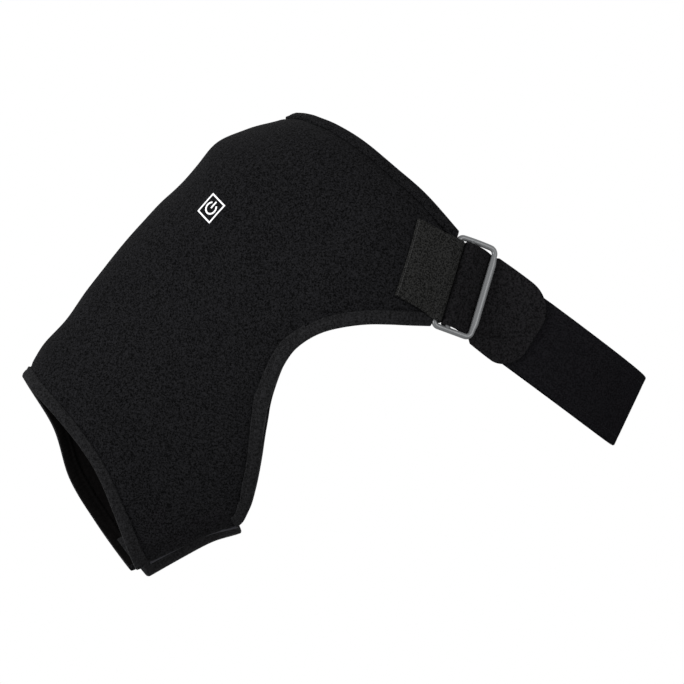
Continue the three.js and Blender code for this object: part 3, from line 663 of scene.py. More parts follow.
def shell(materials):
    """The padded shell, both panels in one piece."""
    rows = np.concatenate([
        np.linspace(0, APEX_ROW, ROWS_BEFORE_APEX)[:-1],
        lerp(APEX_ROW, LAST_ROW, np.linspace(0, 1, ROWS_PAST_APEX) ** APEX_CROWDING),
    ])
    shares = np.linspace(0, 1, SHELL_COLUMNS)
    row, share = np.meshgrid(rows, shares, indexing="ij")
    grids = []
    for side in (-1, 1):
        side_grid = np.full(row.shape, side)
        point, normal, _, _ = shell_frame(row, share, side_grid)
        height = relief(point, edge_distance(point))
        outer = point + normal * height[..., None]
        inner = point - normal * WALL
        if side > 0:
            outer, inner = outer[:, ::-1], inner[:, ::-1]
        grids.append((outer, inner))
    # The inner faces take the darker lining: partly real lining, partly painted shade inside the sleeve
    piece = closed_piece("shell_pile", grids, materials["plush"], lining_and_shade=materials["lining_and_shade"])
    settle(piece, "plush", "wrap_shell")


def tape_share(row, share, side):
    """The share of the section that the tape's width takes up at these places."""
    _, _, along_row, down = shell_frame(row, share, side)
    across = np.linalg.norm(np.cross(down, along_row), axis=-1) / np.linalg.norm(along_row, axis=-1)
    reach = np.where((row >= APEX_ROW) & (row < APEX_ROW + 1), np.linalg.norm(down, axis=-1), across)
    return TAPE_WIDTH / reach


def fold_profile(thickness):
    """Steps of a tape's section, from its free edge outside, round the edge, to its free edge inside.

    Each step has a share from the free edge to the fold, a height off the shell's outer face, and a reach
    past the shell's edge.
    """
    t = np.linspace(0, 1, LEG_STEPS)
    base = CLEARANCE + thickness
    swell = TAPE_SWELL * np.sin(math.pi * np.clip((t - TAPE_SWELL_FROM) / (1 - TAPE_SWELL_FROM), 0, 1))
    groove = SEAM_GROOVE * np.exp(-(((t - SEAM_PLACE) / SEAM_SPREAD) ** 2))
    lip = base * np.sqrt(np.clip(t / TAPE_LIP, 0, 1))
    leg = np.where(t < TAPE_LIP, lip, base) + (swell - groove) * (thickness > 0)
    angle = np.linspace(0, math.pi, FOLD_STEPS + 2)[1:-1]
    half = WALL / 2 + base
    past = base * np.sin(angle)
    share = np.concatenate([t, np.ones(FOLD_STEPS), t[::-1]])
    height = np.concatenate([leg, half * np.cos(angle) - WALL / 2, -WALL - leg[::-1]])
    reach = np.concatenate([np.zeros(LEG_STEPS), past, np.zeros(LEG_STEPS)])
    return share, height, reach


def binding(name, node, edge, inset, materials, cover="tape", lining_and_shade=None):
    """A tape folded round an edge, its leg on the inner face given the darker lining material as painted
    shade where one is given.

    edge and inset are (row, share, side) along the edge and along the tape's free edge.
    """
    share, height, reach = fold_profile(TAPE_THICKNESS)
    _, low, low_reach = fold_profile(0)
    places = [lerp(i[:, None], e[:, None], share[None, :]) for e, i in zip(edge[:2], inset[:2])]
    side = np.broadcast_to(edge[2][:, None], places[0].shape)
    point, normal, _, _ = shell_frame(places[0], places[1], side)
    end = shell_frame(*edge)[0]
    out = unit(end - point[:, LEG_STEPS // 2])
    length = lengths_along(end)
    drift = PUCKER_DRIFT * np.sin(length * PUCKER_DRIFT_RATE)
    pucker = PUCKER_HEIGHT * np.sin(length * math.tau / PUCKER_LENGTH + drift)
    raised = height + pucker[:, None] * np.sign(height + WALL / 2) * (share < PUCKER_END)
    outer = point + normal * raised[..., None] + out[:, None] * reach[None, :, None]
    inner = point + normal * low[None, :, None] + out[:, None] * low_reach[None, :, None]
    piece = closed_piece(name, [(outer, inner)], materials[cover])
    if lining_and_shade:
        inner_leg = np.arange(len(share) - 1) >= LEG_STEPS + FOLD_STEPS
        line(piece, materials[lining_and_shade], np.tile(inner_leg, len(point) - 1))
    settle(piece, "tape", node)
    place = int(LEG_STEPS * SEAM_PLACE)
    seam = point[:, place] + normal[:, place] * (CLEARANCE + TAPE_THICKNESS - STITCH_SINK)
    settle(stitches(name + "_stitches", seam, normal[:, place], materials["thread"]), "tape")


def evenly_spaced(line, normals, pitch):
    """Points and normals at even lengths along a line, with the directions along it."""
    lengths = lengths_along(line)
    count = max(int(lengths[-1] / pitch), 1)
    at = (np.arange(count) + 0.5) * pitch
    along = at_lengths(at + pitch / 4, lengths, line) - at_lengths(at - pitch / 4, lengths, line)
    return at_lengths(at, lengths, line), unit(at_lengths(at, lengths, normals)), unit(along)


def at_lengths(at, lengths, values):
    """Vectors at places along a line whose points have these lengths and vectors."""
    return np.stack([np.interp(at, lengths, values[:, k]) for k in range(3)], -1)


def capped_tubes(points):
    """Faces of closed tubes with flat ends, from their points (tube, ring, side)."""
    ids = np.arange(points.size // 3).reshape(points.shape[:-1])
    around = np.roll(ids, -1, axis=2)
    sides = np.stack([ids[:, :-1], around[:, :-1], around[:, 1:], ids[:, 1:]], -1)
    return sides.reshape(-1, 4).tolist() + ids[:, 0, ::-1].tolist() + ids[:, -1].tolist()


def stitches(name, line, normals, material, pitch=STITCH_PITCH, length=STITCH_LENGTH, radius=THREAD_RADIUS):
    """A row of stitches, each a short thread that dips into the cloth at both ends."""
    place, up, along = evenly_spaced(line, normals, pitch)
    across = np.cross(up, along)
    t = np.linspace(-1, 1, STITCH_RINGS)
    thick = radius * np.sqrt(np.clip(1 - t**4, THREAD_TIP, 1))
    arch = radius * THREAD_ARCH * (1 - t**2) - radius * THREAD_DIP
    angle = np.linspace(0, math.tau, STITCH_SIDES, endpoint=False)
    ring_up = arch[:, None] + thick[:, None] * np.sin(angle)
    ring_across = thick[:, None] * np.cos(angle)
    ring_along = np.broadcast_to((t * length / 2)[:, None], ring_up.shape)
    points = (
        place[:, None, None]
        + up[:, None, None] * ring_up[None, ..., None]
        + across[:, None, None] * ring_across[None, ..., None]
        + along[:, None, None] * ring_along[None, ..., None]
    )
    return mesh_object(name, points.reshape(-1, 3), capped_tubes(points), material)


def bindings(materials):
    """The tapes round the sleeve mouth, the panels' lower edges and the neck edge."""
    half = np.linspace(0, 1, CUFF_STEPS)
    share = np.concatenate([half[::-1], half[1:]])
    side = np.where(np.arange(len(share)) < CUFF_STEPS, -1.0, 1.0)
    zero = np.zeros(len(share))
    inset = (zero + CUFF_ROW, share, side)
    # The cuff tape's inner leg takes the dark lining material as painted shade inside the sleeve mouth
    binding("cuff_tape", "cuff_binding", (zero, share, side), inset, materials, lining_and_shade="lining_and_shade")
    rows = np.linspace(EDGE_START_ROW, LAST_ROW - ROW_GAP, EDGE_STEPS)
    one = np.ones(len(rows))
    for name, node, way in (
        ("back_edge_tape", "back_edge_binding", -1.0),
        ("front_edge_tape", "front_edge_binding", 1.0),
    ):
        side = one * way
        inset = 1 - tape_share(rows, one, side)
        binding(name, node, (rows, one, side), (rows, inset, side), materials)
    neck_binding(materials)


def neck_binding(materials):
    """The tape round the neck edge, from the back panel's end over the apex to the front panel's end."""
    rows = lerp(APEX_ROW, LAST_ROW - ROW_GAP, np.linspace(0, 1, NECK_STEPS) ** NECK_CROWDING)
    row = np.concatenate([rows[::-1], rows[1:]])
    side = np.concatenate([np.full(len(rows), -1.0), np.full(len(rows) - 1, 1.0)])
    zero = np.zeros(len(row))
    point, normal, _, _ = shell_frame(row, zero, side)
    along = np.gradient(point, axis=0)
    out = unit(np.cross(along, normal))
    out[out[:, 0] < 0] *= -1
    target = point - out * TAPE_WIDTH
    inset_row, inset_share, _ = nearest(target, row, zero, side)
    straight_share = tape_share(row, zero, side)
    settled = smoothstep(row - APEX_ROW, *NECK_TURN)
    inset = (lerp(inset_row, row, settled), lerp(inset_share, straight_share, settled), side)
    binding("neck_tape", "neck_binding", (row, zero, side), inset, materials, cover="plush")


def share_before(row, length):
    """The share of the back panel that lies a given length before its lower edge."""
    _, _, _, down = shell_frame(row, np.ones(row.shape), -np.ones(row.shape))
    return 1 - length / np.linalg.norm(down, axis=-1)


def closure_bulge(rows, share):
    """How far the closure bulges out where it bridges the opening between the panels' edges."""
    middle = math.pi / section(rows)[4][:, None]
    reach = (rows - STRIP_START_ROW) / (STRIP_END_ROW - STRIP_START_ROW)
    taper = lerp(1, STRIP_TAPER, reach**2)[:, None]
    return STRIP_BULGE * taper * smoothstep((1 - share) / (1 - middle), *STRIP_BRIDGE)


def closure(materials):
    """The fastening tape under the arm and the strip that closes the sleeve over it."""
    rows = np.linspace(CUFF_ROW + ROW_GAP, STRIP_END_ROW, HOOK_ROWS)
    first, last = share_before(rows, HOOK_WIDTH), share_before(rows, -HOOK_SHOWS)
    share = lerp(first[:, None], last[:, None], np.linspace(0, 1, HOOK_COLUMNS)[None, :])
    row = np.broadcast_to(rows[:, None], share.shape)
    point, normal, _, _ = shell_frame(row, share, -np.ones(share.shape))
    top = (closure_bulge(rows, share) - WALL - CLEARANCE)[..., None]
    grid = (point + normal * top, point + normal * (top - HOOK_THICKNESS))
    settle(closed_piece("closure_edge", [grid], materials["hook_tape"]), "hook_tape", "closure_tape")

    rows = np.linspace(STRIP_START_ROW, STRIP_END_ROW, STRIP_ROWS)
    place = np.arange(-STRIP_COLUMNS, STRIP_COLUMNS + 1)
    t = np.abs(place) / STRIP_COLUMNS
    side = np.where(place <= 0, -1.0, 1.0)
    lap = share_before(rows, STRIP_LAP)[:, None]
    middle = (math.pi / section(rows)[4])[:, None]
    share = middle + (lap - middle) * t[None, :]
    row = np.broadcast_to(rows[:, None], share.shape)
    side = np.broadcast_to(side[None, :], share.shape)
    point, normal, _, _ = shell_frame(row, share, side)
    top = closure_bulge(rows, share) - WALL - OVER_TAPE
    near_end = np.minimum(rows - rows[0], rows[-1] - rows)[:, None] / STRIP_ROUNDING
    round_end = 1 - (1 - np.clip(near_end, 0, 1)) ** 2
    thick = STRIP_THICKNESS * np.sqrt(np.clip(round_end, STRIP_END_THICKNESS, 1))
    middle_height = top - STRIP_THICKNESS / 2
    grid = (
        point + normal * (middle_height + thick / 2)[..., None],
        point + normal * (middle_height - thick / 2)[..., None],
    )
    settle(closed_piece("closure_strip", [grid], materials["tape"]), "tape", "arm_closure_strip")


def single(row, share, side):
    """The frame at one place of the shell."""
    place = (np.array([float(v)]) for v in (row, share, side))
    return [v[0] for v in shell_frame(*place)]


def slide_axes():
    """Middle of the slide's first bar and the directions along the slide, out from the back, and across."""
    top, edge = single(LAST_ROW, 0, -1)[0], single(LAST_ROW, 1, -1)[0]
    middle, normal = single(LAST_ROW, 0.5, -1)[:2]
    across = unit(top - edge)
    out = unit(normal - across * (normal @ across))
    along = -unit(np.cross(out, across))
    origin = (top + edge) / 2
    origin[1] = middle[1]
    origin = origin + along * SLIDE_SETBACK - out * (WALL / 2 + SLIDE_SINK)
    return origin, along, out, across


SLIDE_ORIGIN, SLIDE_ALONG, SLIDE_OUT, SLIDE_ACROSS = slide_axes()
STRAP_LOW = -WALL / 2
END_LOW = STRAP_LOW + STRAP_THICKNESS + CLEARANCE
FAR_BAR_HEIGHT = END_LOW + STRAP_THICKNESS + CLEARANCE + WIRE_RADIUS
MIDDLE_BAR_HEIGHT = FAR_BAR_HEIGHT * MIDDLE_BAR / SLIDE_SPAN


def slide_point(along, height, across):
    """Points at places along the slide, out from the back and across the slide."""
    along, height, across = (np.asarray(v, float)[..., None] for v in (along, height, across))
    return SLIDE_ORIGIN + SLIDE_ALONG * along + SLIDE_OUT * height + SLIDE_ACROSS * across


def closed_tube(path, radius, sides):
    """Points and faces of a round tube along a closed path of points."""
    tangent = unit(np.roll(path, -1, axis=0) - np.roll(path, 1, axis=0))
    up = unit(SLIDE_OUT - tangent * (tangent @ SLIDE_OUT)[:, None])
    sideways = np.cross(tangent, up)
    angle = np.linspace(0, math.tau, sides, endpoint=False)
    ring = up[:, None] * np.cos(angle)[None, :, None] + sideways[:, None] * np.sin(angle)[None, :, None]
    points = (path[:, None] + ring * radius).reshape(-1, 3)
    ids = np.arange(len(path) * sides).reshape(len(path), sides)
    around = np.roll(ids, -1, axis=1)
    ahead, far = np.roll(ids, -1, axis=0), np.roll(around, -1, axis=0)
    return points, np.stack([ids, around, far, ahead], -1).reshape(-1, 4).tolist()


def slide_outline():
    """The wire's middle line: a rectangle with round corners whose two short bars bow out a little."""
    tilt = math.atan2(FAR_BAR_HEIGHT, SLIDE_SPAN)
    span = math.hypot(FAR_BAR_HEIGHT, SLIDE_SPAN)
    half = SLIDE_LENGTH / 2
    turn = np.linspace(0, math.pi / 2, CORNER_STEPS)
    flat = []
    for p, w, first in ((span, half, 0), (0, half, 1), (0, -half, 2), (span, -half, 3)):
        quarter = turn + first * math.pi / 2
        corner = SLIDE_CORNER if p else HIDDEN_CORNER
        centre_p = p - math.copysign(corner, p - span / 2)
        centre_w = w - math.copysign(corner, w)
        flat.append(np.stack([
            centre_p + corner * np.cos(quarter),
            centre_w + corner * np.sin(quarter),
        ], -1))
    flat = np.concatenate(flat)
    closed = np.concatenate([flat, flat[:1]])
    lengths = lengths_along(closed)
    at = np.linspace(0, lengths[-1], WIRE_STEPS, endpoint=False)
    p, w = (np.interp(at, lengths, closed[:, k]) for k in (0, 1))
    bow = SLIDE_BOW * (1 - (2 * p / span - 1) ** 2) * smoothstep(w, half - SLIDE_CORNER, half)
    return slide_point(p * math.cos(tilt), p * math.sin(tilt), w + bow)


def widen_far_bar(points):
    """Widens the far bar in the slide's own plane and moves its middle out, up to its corners."""
    far = slide_point(SLIDE_SPAN, FAR_BAR_HEIGHT, 0)
    run = unit(far - SLIDE_ORIGIN)
    offset = points - far
    ahead = offset @ run
    free = SLIDE_LENGTH / 2 - SLIDE_CORNER
    wide = 1 - smoothstep(np.abs(offset @ SLIDE_ACROSS), free - FAR_BAR_FADE, free)
    wide[ahead < -SLIDE_SPAN / 2] = 0
    spread = FAR_BAR_WIDTH / (2 * WIRE_RADIUS) - 1
    return points + run * (wide * (FAR_BAR_SHIFT + spread * ahead))[:, None]


def slide(materials):
    """The wire slide with its middle bar."""
    points, faces = closed_tube(slide_outline(), WIRE_RADIUS, WIRE_SIDES)
    points = widen_far_bar(points)
    across = np.linspace(-0.5, 0.5, MIDDLE_BAR_STEPS) * SLIDE_LENGTH
    bar = slide_point(*np.broadcast_arrays(MIDDLE_BAR, MIDDLE_BAR_HEIGHT, across))
    more, more_faces = straight_bar(bar, WIRE_RADIUS, WIRE_SIDES)
    faces += [[n + len(points) for n in face] for face in more_faces]
    piece = mesh_object("slide_wire", np.concatenate([points, more]), faces, materials["gunmetal"])
    settle(piece, "gunmetal", "slide_buckle")


def straight_bar(path, radius, sides):
    """A closed round bar along a straight path."""
    angle = np.linspace(0, math.tau, sides, endpoint=False)
    ring = SLIDE_ALONG * np.cos(angle)[:, None] + SLIDE_OUT * np.sin(angle)[:, None]
    points = path[:, None] + ring[None] * radius
    return points.reshape(-1, 3), capped_tubes(points[None])


def soft_sides(across, width, thickness):
    """Half thickness across a band whose long edges are rounded."""
    inside = np.clip((width / 2 - np.abs(across)) / (thickness * BAND_ROUNDING), 0, 1)
    return thickness / 2 * np.sqrt(np.clip(1 - (1 - inside) ** 2, BAND_EDGE, 1))


def across_band(columns):
    """Places across a band from -1/2 to 1/2, closer together near both edges."""
    t = np.linspace(-1, 1, columns)
    return lerp(t, np.sin(t * math.pi / 2), BAND_CROWDING) / 2


def band(name, points, normals, width, middle, half, material):
    """A closed band from points (along, across), with its middle height and half thickness off them."""
    length = lengths_along(points[:, points.shape[1] // 2])
    uv = np.stack(np.broadcast_arrays(length[:, None], width), -1)
    grid = (points + normals * (middle + half)[..., None], points + normals * (middle - half)[..., None])
    return closed_piece(name, [grid], material, [uv])


def panel_patch(along, widths):
    """Places on the back panel under points of the slide's plane."""
    target = slide_point(*np.broadcast_arrays(along, WALL / 2, widths))
    row, share, side = nearest(target, LAST_ROW, 0.5, -1)
    point, normal, _, _ = shell_frame(row, share, side)
    return point, normal


def webbing_width(along):
    """Width of the webbing, which spreads where it meets the slide."""
    spread = smoothstep(along, -SLIDE_SETBACK - WEBBING_SPREAD, -SLIDE_SETBACK)[:, None]
    return WEBBING_WIDTH + (FOLD_WIDTH - WEBBING_WIDTH) * spread


def ring_tab(materials):
    """The webbing folded round the slide's first bar, and its sewing."""
    t = across_band(BAND_COLUMNS)
    over = np.linspace(-WEBBING_OUTSIDE, -SLIDE_SETBACK, WEBBING_OUTSIDE_ROWS)
    under = np.linspace(-SLIDE_SETBACK, -WEBBING_INSIDE, WEBBING_INSIDE_ROWS)
    bend = WALL / 2 + OVER_TAPE + WEBBING_THICKNESS / 2
    top, top_normal = panel_patch(over[:, None], t * webbing_width(over) - WEBBING_SKEW * over[:, None])
    low, low_normal = panel_patch(under[:, None], t * webbing_width(under) - WEBBING_SKEW * under[:, None])
    angle = np.radians(np.linspace(90, -90, WEBBING_FOLD_ROWS))[1:-1, None]
    width = (t * FOLD_WIDTH)[None, :]
    fold = slide_point(*np.broadcast_arrays(bend * np.cos(angle), bend * np.sin(angle), width))
    axis = slide_point(0 * angle, 0 * angle, width)
    points = np.concatenate([
        top + top_normal * (OVER_TAPE + WEBBING_THICKNESS / 2),
        fold,
        low - low_normal * (WALL + OVER_TAPE + WEBBING_SLACK + WEBBING_THICKNESS / 2),
    ])
    normals = np.concatenate([top_normal, unit(fold - axis), -low_normal])
    across = np.broadcast_to((t * WEBBING_WIDTH)[None, :], points.shape[:2])
    half = soft_sides(across, WEBBING_WIDTH, WEBBING_THICKNESS)
    ends = np.minimum(np.arange(len(points)), np.arange(len(points))[::-1])[:, None]
    half = half * np.sqrt(np.clip((ends + WEBBING_END_THICKNESS) / 2, 0, 1))
    piece = band("webbing_tab", points, normals, across, 0 * half, half, materials["webbing"])
    settle(piece, "webbing", "ring_tab")
    sewn = -WEBBING_OUTSIDE + WEBBING_SEAM_INSET
    widths = np.linspace(-WEBBING_SEAM_REACH, WEBBING_SEAM_REACH, WEBBING_SEAM_STEPS) * WEBBING_WIDTH
    point, normal = panel_patch(np.full(WEBBING_SEAM_STEPS, sewn), widths - WEBBING_SKEW * sewn)
    seam = point + normal * (OVER_TAPE + WEBBING_THICKNESS)
    sewing = stitches("webbing_stitches", seam, normal, materials["light_thread"], *WEBBING_STITCH)
    settle(sewing, "webbing")


STRAP_STRAIGHT = SLIDE_SPAN + WIRE_RADIUS
STRAP_START = slide_point(STRAP_STRAIGHT, 0, 0)
STRAP_SIDE = np.array([SLIDE_ORIGIN[0] + STRAP_REACH, 0, SLIDE_ORIGIN[2] - STRAP_FALL])


def strap_course():
    """The strap's middle line from the slide to the side of the body, and the lengths along it."""
    t = np.linspace(0, 1, COURSE_STEPS + 1) ** COURSE_CROWDING
    power = 2 / STRAP_ROUNDNESS
    reach = np.sin(t * math.pi / 2) ** power
    back = np.clip(np.cos(t * math.pi / 2), 0, None) ** power
    points = np.stack([
        lerp(STRAP_START[0], STRAP_SIDE[0], reach),
        STRAP_START[1] * back,
        lerp(STRAP_START[2], STRAP_SIDE[2], reach),
    ], -1)
    return points, lengths_along(points)


COURSE, COURSE_LENGTHS = strap_course()
STRAP_LAST = STRAP_STRAIGHT + COURSE_LENGTHS[-1]


def strap_frame(lengths):
    """Points, outward directions and directions across of the strap at these lengths along it."""
    total = COURSE_LENGTHS[-1]
    run = np.clip(lengths - STRAP_STRAIGHT, 0, total)
    places = (run, run + COURSE_REACH, run - COURSE_REACH)
    point, ahead, behind = (at_lengths(at, COURSE_LENGTHS, COURSE) for at in places)
    along = unit(ahead - behind)
    along[total - run < SIDE_REACH] = (0, 1, 0)
    angle = np.radians(lerp(STRAP_ANGLE, STRAP_SIDE_ANGLE, run / total))
    settled = smoothstep(run, -SLIDE_SPAN / 2, END_LENGTH)[:, None]
    slope = np.stack([np.cos(angle), 0 * angle, np.sin(angle)], -1)
    across = lerp(SLIDE_ACROSS, slope, settled)
    out = unit(lerp(SLIDE_OUT, unit(np.cross(along, across)), settled))
    across = unit(across)
    straight = run <= 0
    point[straight] = slide_point(lengths[straight], 0 * lengths[straight], 0 * lengths[straight])
    out[straight] = SLIDE_OUT
    across[straight] = SLIDE_ACROSS
    drop = STRAP_DROP * smoothstep(lengths, SLIDE_SPAN - DROP_BEFORE_BAR, SLIDE_SPAN + DROP_PAST_BAR)
    return point - across * drop[:, None], out, across


def strap_lines(lengths, widths):
    """Points and normals (along, across) of the strap's middle surface."""
    point, out, across = strap_frame(lengths)
    points = point[:, None] + across[:, None] * widths[..., None]
    return points, np.broadcast_to(out[:, None], points.shape)


def hem(across, width):
    """Height of the band's hems: a shallow groove inside each long edge."""
    inside = width / 2 - np.abs(across)
    return -HEM_DEPTH * np.exp(-(((inside - STRAP_HEM) / HEM_WIDTH) ** 2))


def chest_strap(materials):
    """The strap from the slide round the body to the front panel, with its hems and seams."""
    t = across_band(STRAP_COLUMNS)
    lengths = np.linspace(MIDDLE_BAR + LAYER_START, STRAP_LAST, STRAP_BACK_ROWS)
    round_lengths = np.linspace(STRAP_LAST, 0, STRAP_FRONT_ROWS)[1:]
    widths = np.broadcast_to((t * STRAP_WIDTH)[None, :], (len(lengths), len(t)))
    back, back_normal = strap_lines(lengths, widths)
    widths = np.broadcast_to((t * STRAP_WIDTH)[None, :], (len(round_lengths), len(t)))
    front, front_normal = strap_lines(round_lengths, widths)
    mirror = np.array([1, -1, 1])
    back_middle = np.full(len(lengths), STRAP_LOW + STRAP_THICKNESS / 2)
    low = lerp(WALL / 2 + OVER_TAPE, STRAP_LOW, smoothstep(round_lengths, 0, STRAP_RAMP))
    front_middle = low + STRAP_THICKNESS / 2
    sewn = np.linspace(-SLIDE_SETBACK, -STRAP_LAP, STRAP_LAP_ROWS)
    lap, lap_normal = panel_patch(sewn[:, None], (t * STRAP_WIDTH)[None, :])
    lap_middle = np.full(len(sewn), OVER_TAPE + STRAP_THICKNESS / 2)
    points = np.concatenate([back, mirrored(front), mirrored(lap)])
    normals = np.concatenate([back_normal, front_normal * mirror, lap_normal * mirror])
    middle = np.concatenate([back_middle, front_middle, lap_middle])[:, None]
    across = np.broadcast_to((t * STRAP_WIDTH)[None, :], points.shape[:2])
    half = soft_sides(across, STRAP_WIDTH, STRAP_THICKNESS) + hem(across, STRAP_WIDTH) / 2
    piece = band("strap_elastic", points, normals, across, middle + 0 * half, half, materials["elastic"])
    settle(piece, "elastic", "chest_strap")
    hemmed = np.linspace(STRAP_STRAIGHT + HEM_START, STRAP_LAST, HEM_STEPS)
    for edge, level in ((-1, "low"), (1, "high")):
        place = np.full((HEM_STEPS, 1), edge * (STRAP_WIDTH / 2 - STRAP_HEM))
        point, normal = (v[:, 0] for v in strap_lines(hemmed, place))
        seam = point + normal * (STRAP_LOW + STRAP_THICKNESS - STITCH_SINK)
        settle(stitches(f"strap_hem_{level}", seam, normal, materials["thread"], *HEM_STITCH), "elastic")
    widths = np.linspace(-LAP_SEAM_REACH, LAP_SEAM_REACH, LAP_SEAM_STEPS) * STRAP_WIDTH
    for back_off in LAP_SEAMS:
        point, normal = panel_patch(np.full(LAP_SEAM_STEPS, -SLIDE_SETBACK - back_off), widths)
        seam = mirrored(point + normal * (OVER_TAPE + STRAP_THICKNESS))
        name = f"strap_seam_{round(back_off / MM)}"
        settle(stitches(name, seam, normal * mirror, materials["thread"]), "elastic")


def strap_end(materials):
    """The strap's free end, up round the middle bar and back along the strap, under the far bar."""
    t = across_band(BAND_COLUMNS)
    bend = WIRE_RADIUS + CLEARANCE + STRAP_THICKNESS / 2
    angle = np.radians(np.linspace(-90, -270, TURN_ROWS))[:, None]
    width = (t * TURN_WIDTH)[None, :]
    along, height = (bend + TURN_SLACK) * np.cos(angle), bend * np.sin(angle)
    turn = slide_point(*np.broadcast_arrays(MIDDLE_BAR + along, MIDDLE_BAR_HEIGHT + height, width))
    axis = slide_point(*np.broadcast_arrays(MIDDLE_BAR + 0 * angle, MIDDLE_BAR_HEIGHT, width))
    turn_normal = unit(turn - axis)
    last = SLIDE_SPAN + END_LENGTH
    lengths = np.concatenate([
        np.linspace(MIDDLE_BAR + END_START, last - END_CORNER, END_ROWS),
        last - END_CORNER * (1 - np.sin(np.linspace(0, math.pi / 2, TIP_ROWS)[1:])),
    ])
    top = MIDDLE_BAR_HEIGHT + WIRE_RADIUS + CLEARANCE
    low = lerp(top, END_LOW, smoothstep(lengths, MIDDLE_BAR, SLIDE_SPAN - WIRE_RADIUS))
    past = np.clip(lengths - (last - END_CORNER), 0, None)
    cut = END_CORNER - np.sqrt(np.clip(END_CORNER**2 - past**2, 0, None))
    full = lerp(END_WIDTH, END_NARROW, (lengths - STRAP_STRAIGHT) / (last - STRAP_STRAIGHT))
    wide = smoothstep(lengths, STRAP_STRAIGHT, STRAP_STRAIGHT + END_WIDENS)
    widths = lerp(TURN_WIDTH, full, wide) - 2 * cut
    across = t[None, :] * widths[:, None]
    lay, lay_normal = strap_lines(lengths, across)
    points = np.concatenate([turn, lay + lay_normal * (low + STRAP_THICKNESS / 2)[:, None, None]])
    normals = np.concatenate([turn_normal, lay_normal])
    across = np.concatenate([np.broadcast_to(width, turn.shape[:2]), across])
    half = np.concatenate([
        soft_sides(across[: len(turn)], TURN_WIDTH, STRAP_THICKNESS),
        soft_sides(across[len(turn):], widths[:, None], STRAP_THICKNESS),
    ])
    tip = np.clip((last - lengths) / TIP_ROUNDING, TIP_THICKNESS, 1)
    half[len(turn):] *= np.sqrt(1 - (1 - tip) ** 2)[:, None]
    piece = band("strap_end", points, normals, across, 0 * half, half, materials["brushed"])
    settle(piece, "elastic", "strap_end_tab")


def switch_axes():
    """Middle of the switch on the shell, and the directions along its long and its short side."""
    point, normal = single(SWITCH_ROW, SWITCH_SHARE, -1)[:2]
    turn = math.radians(SWITCH_TURN)
    flat = np.array([math.cos(turn), 0, math.sin(turn)])
    long = unit(flat - normal * (flat @ normal))
    return point, long, np.cross(normal, long)


SWITCH_POINT, SWITCH_LONG, SWITCH_SHORT = switch_axes()


def on_switch(a, b):
    """Points and normals of the shell under places of the switch, along its long and its short side."""
    a, b = np.broadcast_arrays(np.asarray(a, float), np.asarray(b, float))
    target = SWITCH_POINT + SWITCH_LONG * a[..., None] + SWITCH_SHORT * b[..., None]
    row, share, side = nearest(target, SWITCH_ROW, SWITCH_SHARE, -1)
    point, normal, _, _ = shell_frame(row, share, side)
    return point, normal


def switch(materials):
    """The raised switch pad and the marks printed on it."""
    t = np.linspace(-1, 1, PAD_STEPS)
    u, v = np.meshgrid(t, t, indexing="ij")
    corner = np.sqrt(1 - PAD_ROUNDING * (u * v) ** 2)
    point, normal = on_switch(u * corner * PAD_SIDE / 2, v * corner * PAD_SIDE / 2)
    edge = (abs(u) ** PAD_SQUARENESS + abs(v) ** PAD_SQUARENESS) ** (1 / PAD_SQUARENESS)
    rise = CLEARANCE + PAD_RISE * smoothstep(edge, *PAD_SHOULDER)
    rise -= PAD_SKIRT * smoothstep(edge, *PAD_SKIRT_FROM)
    grid = (point + normal * rise[..., None], point - normal * PAD_DEPTH)
    settle(closed_piece("switch_cover", [grid], materials["plush"]), "plush", "switch_pad")

    corners = np.array([[1, 1], [-1, 1], [-1, -1], [1, -1]], float)
    steps = np.linspace(0, 1, FRAME_STEPS, endpoint=False)[:, None]
    square = np.concatenate([lerp(corners[n], corners[(n + 1) % 4], steps) for n in range(4)])
    square = np.concatenate([square, square[:1]])
    half = np.array([FRAME_LENGTH, FRAME_WIDTH]) / 2
    t = np.linspace(0, 1, PRINT_COLUMNS)[None, :, None]
    outline = square[:, None] * (half - FRAME_LINE * t)
    printed("switch_outline", "switch_frame", outline, materials)
    angle = np.radians(np.linspace(POWER_OPENING / 2, 360 - POWER_OPENING / 2, POWER_RING_STEPS))[:, None]
    across = POWER_LINE * np.linspace(-0.5, 0.5, PRINT_COLUMNS)[None, :]
    radius = POWER_RADIUS + across
    circle = np.stack([radius * np.cos(angle), radius * np.sin(angle)], -1)
    printed("power_circle", "power_ring", circle, materials)
    along = np.linspace(0, POWER_BAR_REACH, POWER_BAR_STEPS)[:, None] * POWER_RADIUS
    printed("power_stroke", "power_bar", np.stack(np.broadcast_arrays(along, across), -1), materials)


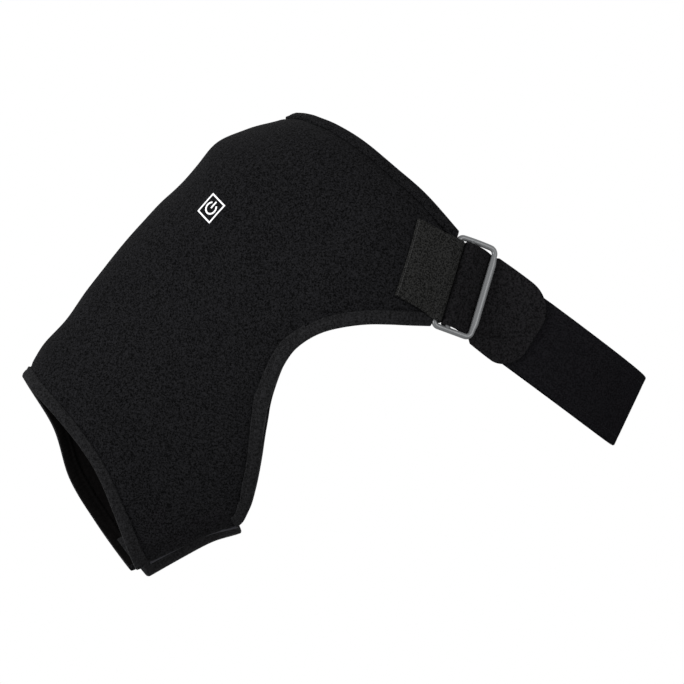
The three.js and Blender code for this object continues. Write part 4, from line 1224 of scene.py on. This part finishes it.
def printed(name, node, places, materials):
    """A thin raised mark on the switch pad, at places along and across it."""
    point, normal = on_switch(places[..., 0], places[..., 1])
    low = CLEARANCE + PAD_RISE - PRINT_SINK
    grid = (point + normal * (low + PRINT_THICKNESS), point + normal * low)
    settle(closed_piece(name, [grid], materials["print"]), "print", node)


def stage():
    """Pale floor, pale surroundings, soft lights and the camera."""
    pale = new_material("pale_floor", (FLOOR_TONE,) * 3, 1.0, specular=0)
    angle = np.linspace(0, math.tau, FLOOR_SIDES, endpoint=False)
    ring = np.stack([np.cos(angle), np.sin(angle), 0 * angle], -1) * FLOOR_RADIUS
    floor_object = mesh_object("floor", ring + (0, 0, FLOOR_LEVEL), [list(range(FLOOR_SIDES))], pale)
    world = bpy.data.worlds.new("surroundings")
    world.use_nodes = True
    world.node_tree.nodes["Background"].inputs["Color"].default_value = (1, 1, 1, 1)
    world.node_tree.nodes["Background"].inputs["Strength"].default_value = 1.0
    bpy.context.scene.world = world
    for name, place, size, power in LIGHTS:
        light = bpy.data.lights.new(name, "AREA")
        light.size = size
        light.energy = power
        lamp = bpy.data.objects.new(name, light)
        lamp.location = place
        lamp.rotation_euler = (Vector(LIGHT_AIM) - Vector(place)).to_track_quat("-Z", "Y").to_euler()
        bpy.context.scene.collection.objects.link(lamp)
    data = bpy.data.cameras.new("camera")
    data.lens = CAMERA_LENS
    data.clip_end = CAMERA_CLIP
    camera = bpy.data.objects.new("camera", data)
    camera.location = CAMERA_PLACE
    camera.rotation_euler = (math.pi / 2, 0, 0)
    bpy.context.scene.collection.objects.link(camera)
    bpy.context.scene.camera = camera
    bpy.context.scene.view_settings.view_transform = "Standard"


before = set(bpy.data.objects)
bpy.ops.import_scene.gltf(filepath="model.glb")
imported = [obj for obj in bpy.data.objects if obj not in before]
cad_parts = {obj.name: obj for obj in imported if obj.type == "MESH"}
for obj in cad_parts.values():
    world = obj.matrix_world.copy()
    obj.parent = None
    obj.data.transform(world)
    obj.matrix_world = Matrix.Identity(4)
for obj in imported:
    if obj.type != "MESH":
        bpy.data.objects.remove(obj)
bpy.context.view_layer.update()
materials = make_materials()
shell(materials)
bindings(materials)
closure(materials)
ring_tab(materials)
slide(materials)
chest_strap(materials)
strap_end(materials)
switch(materials)
stage()
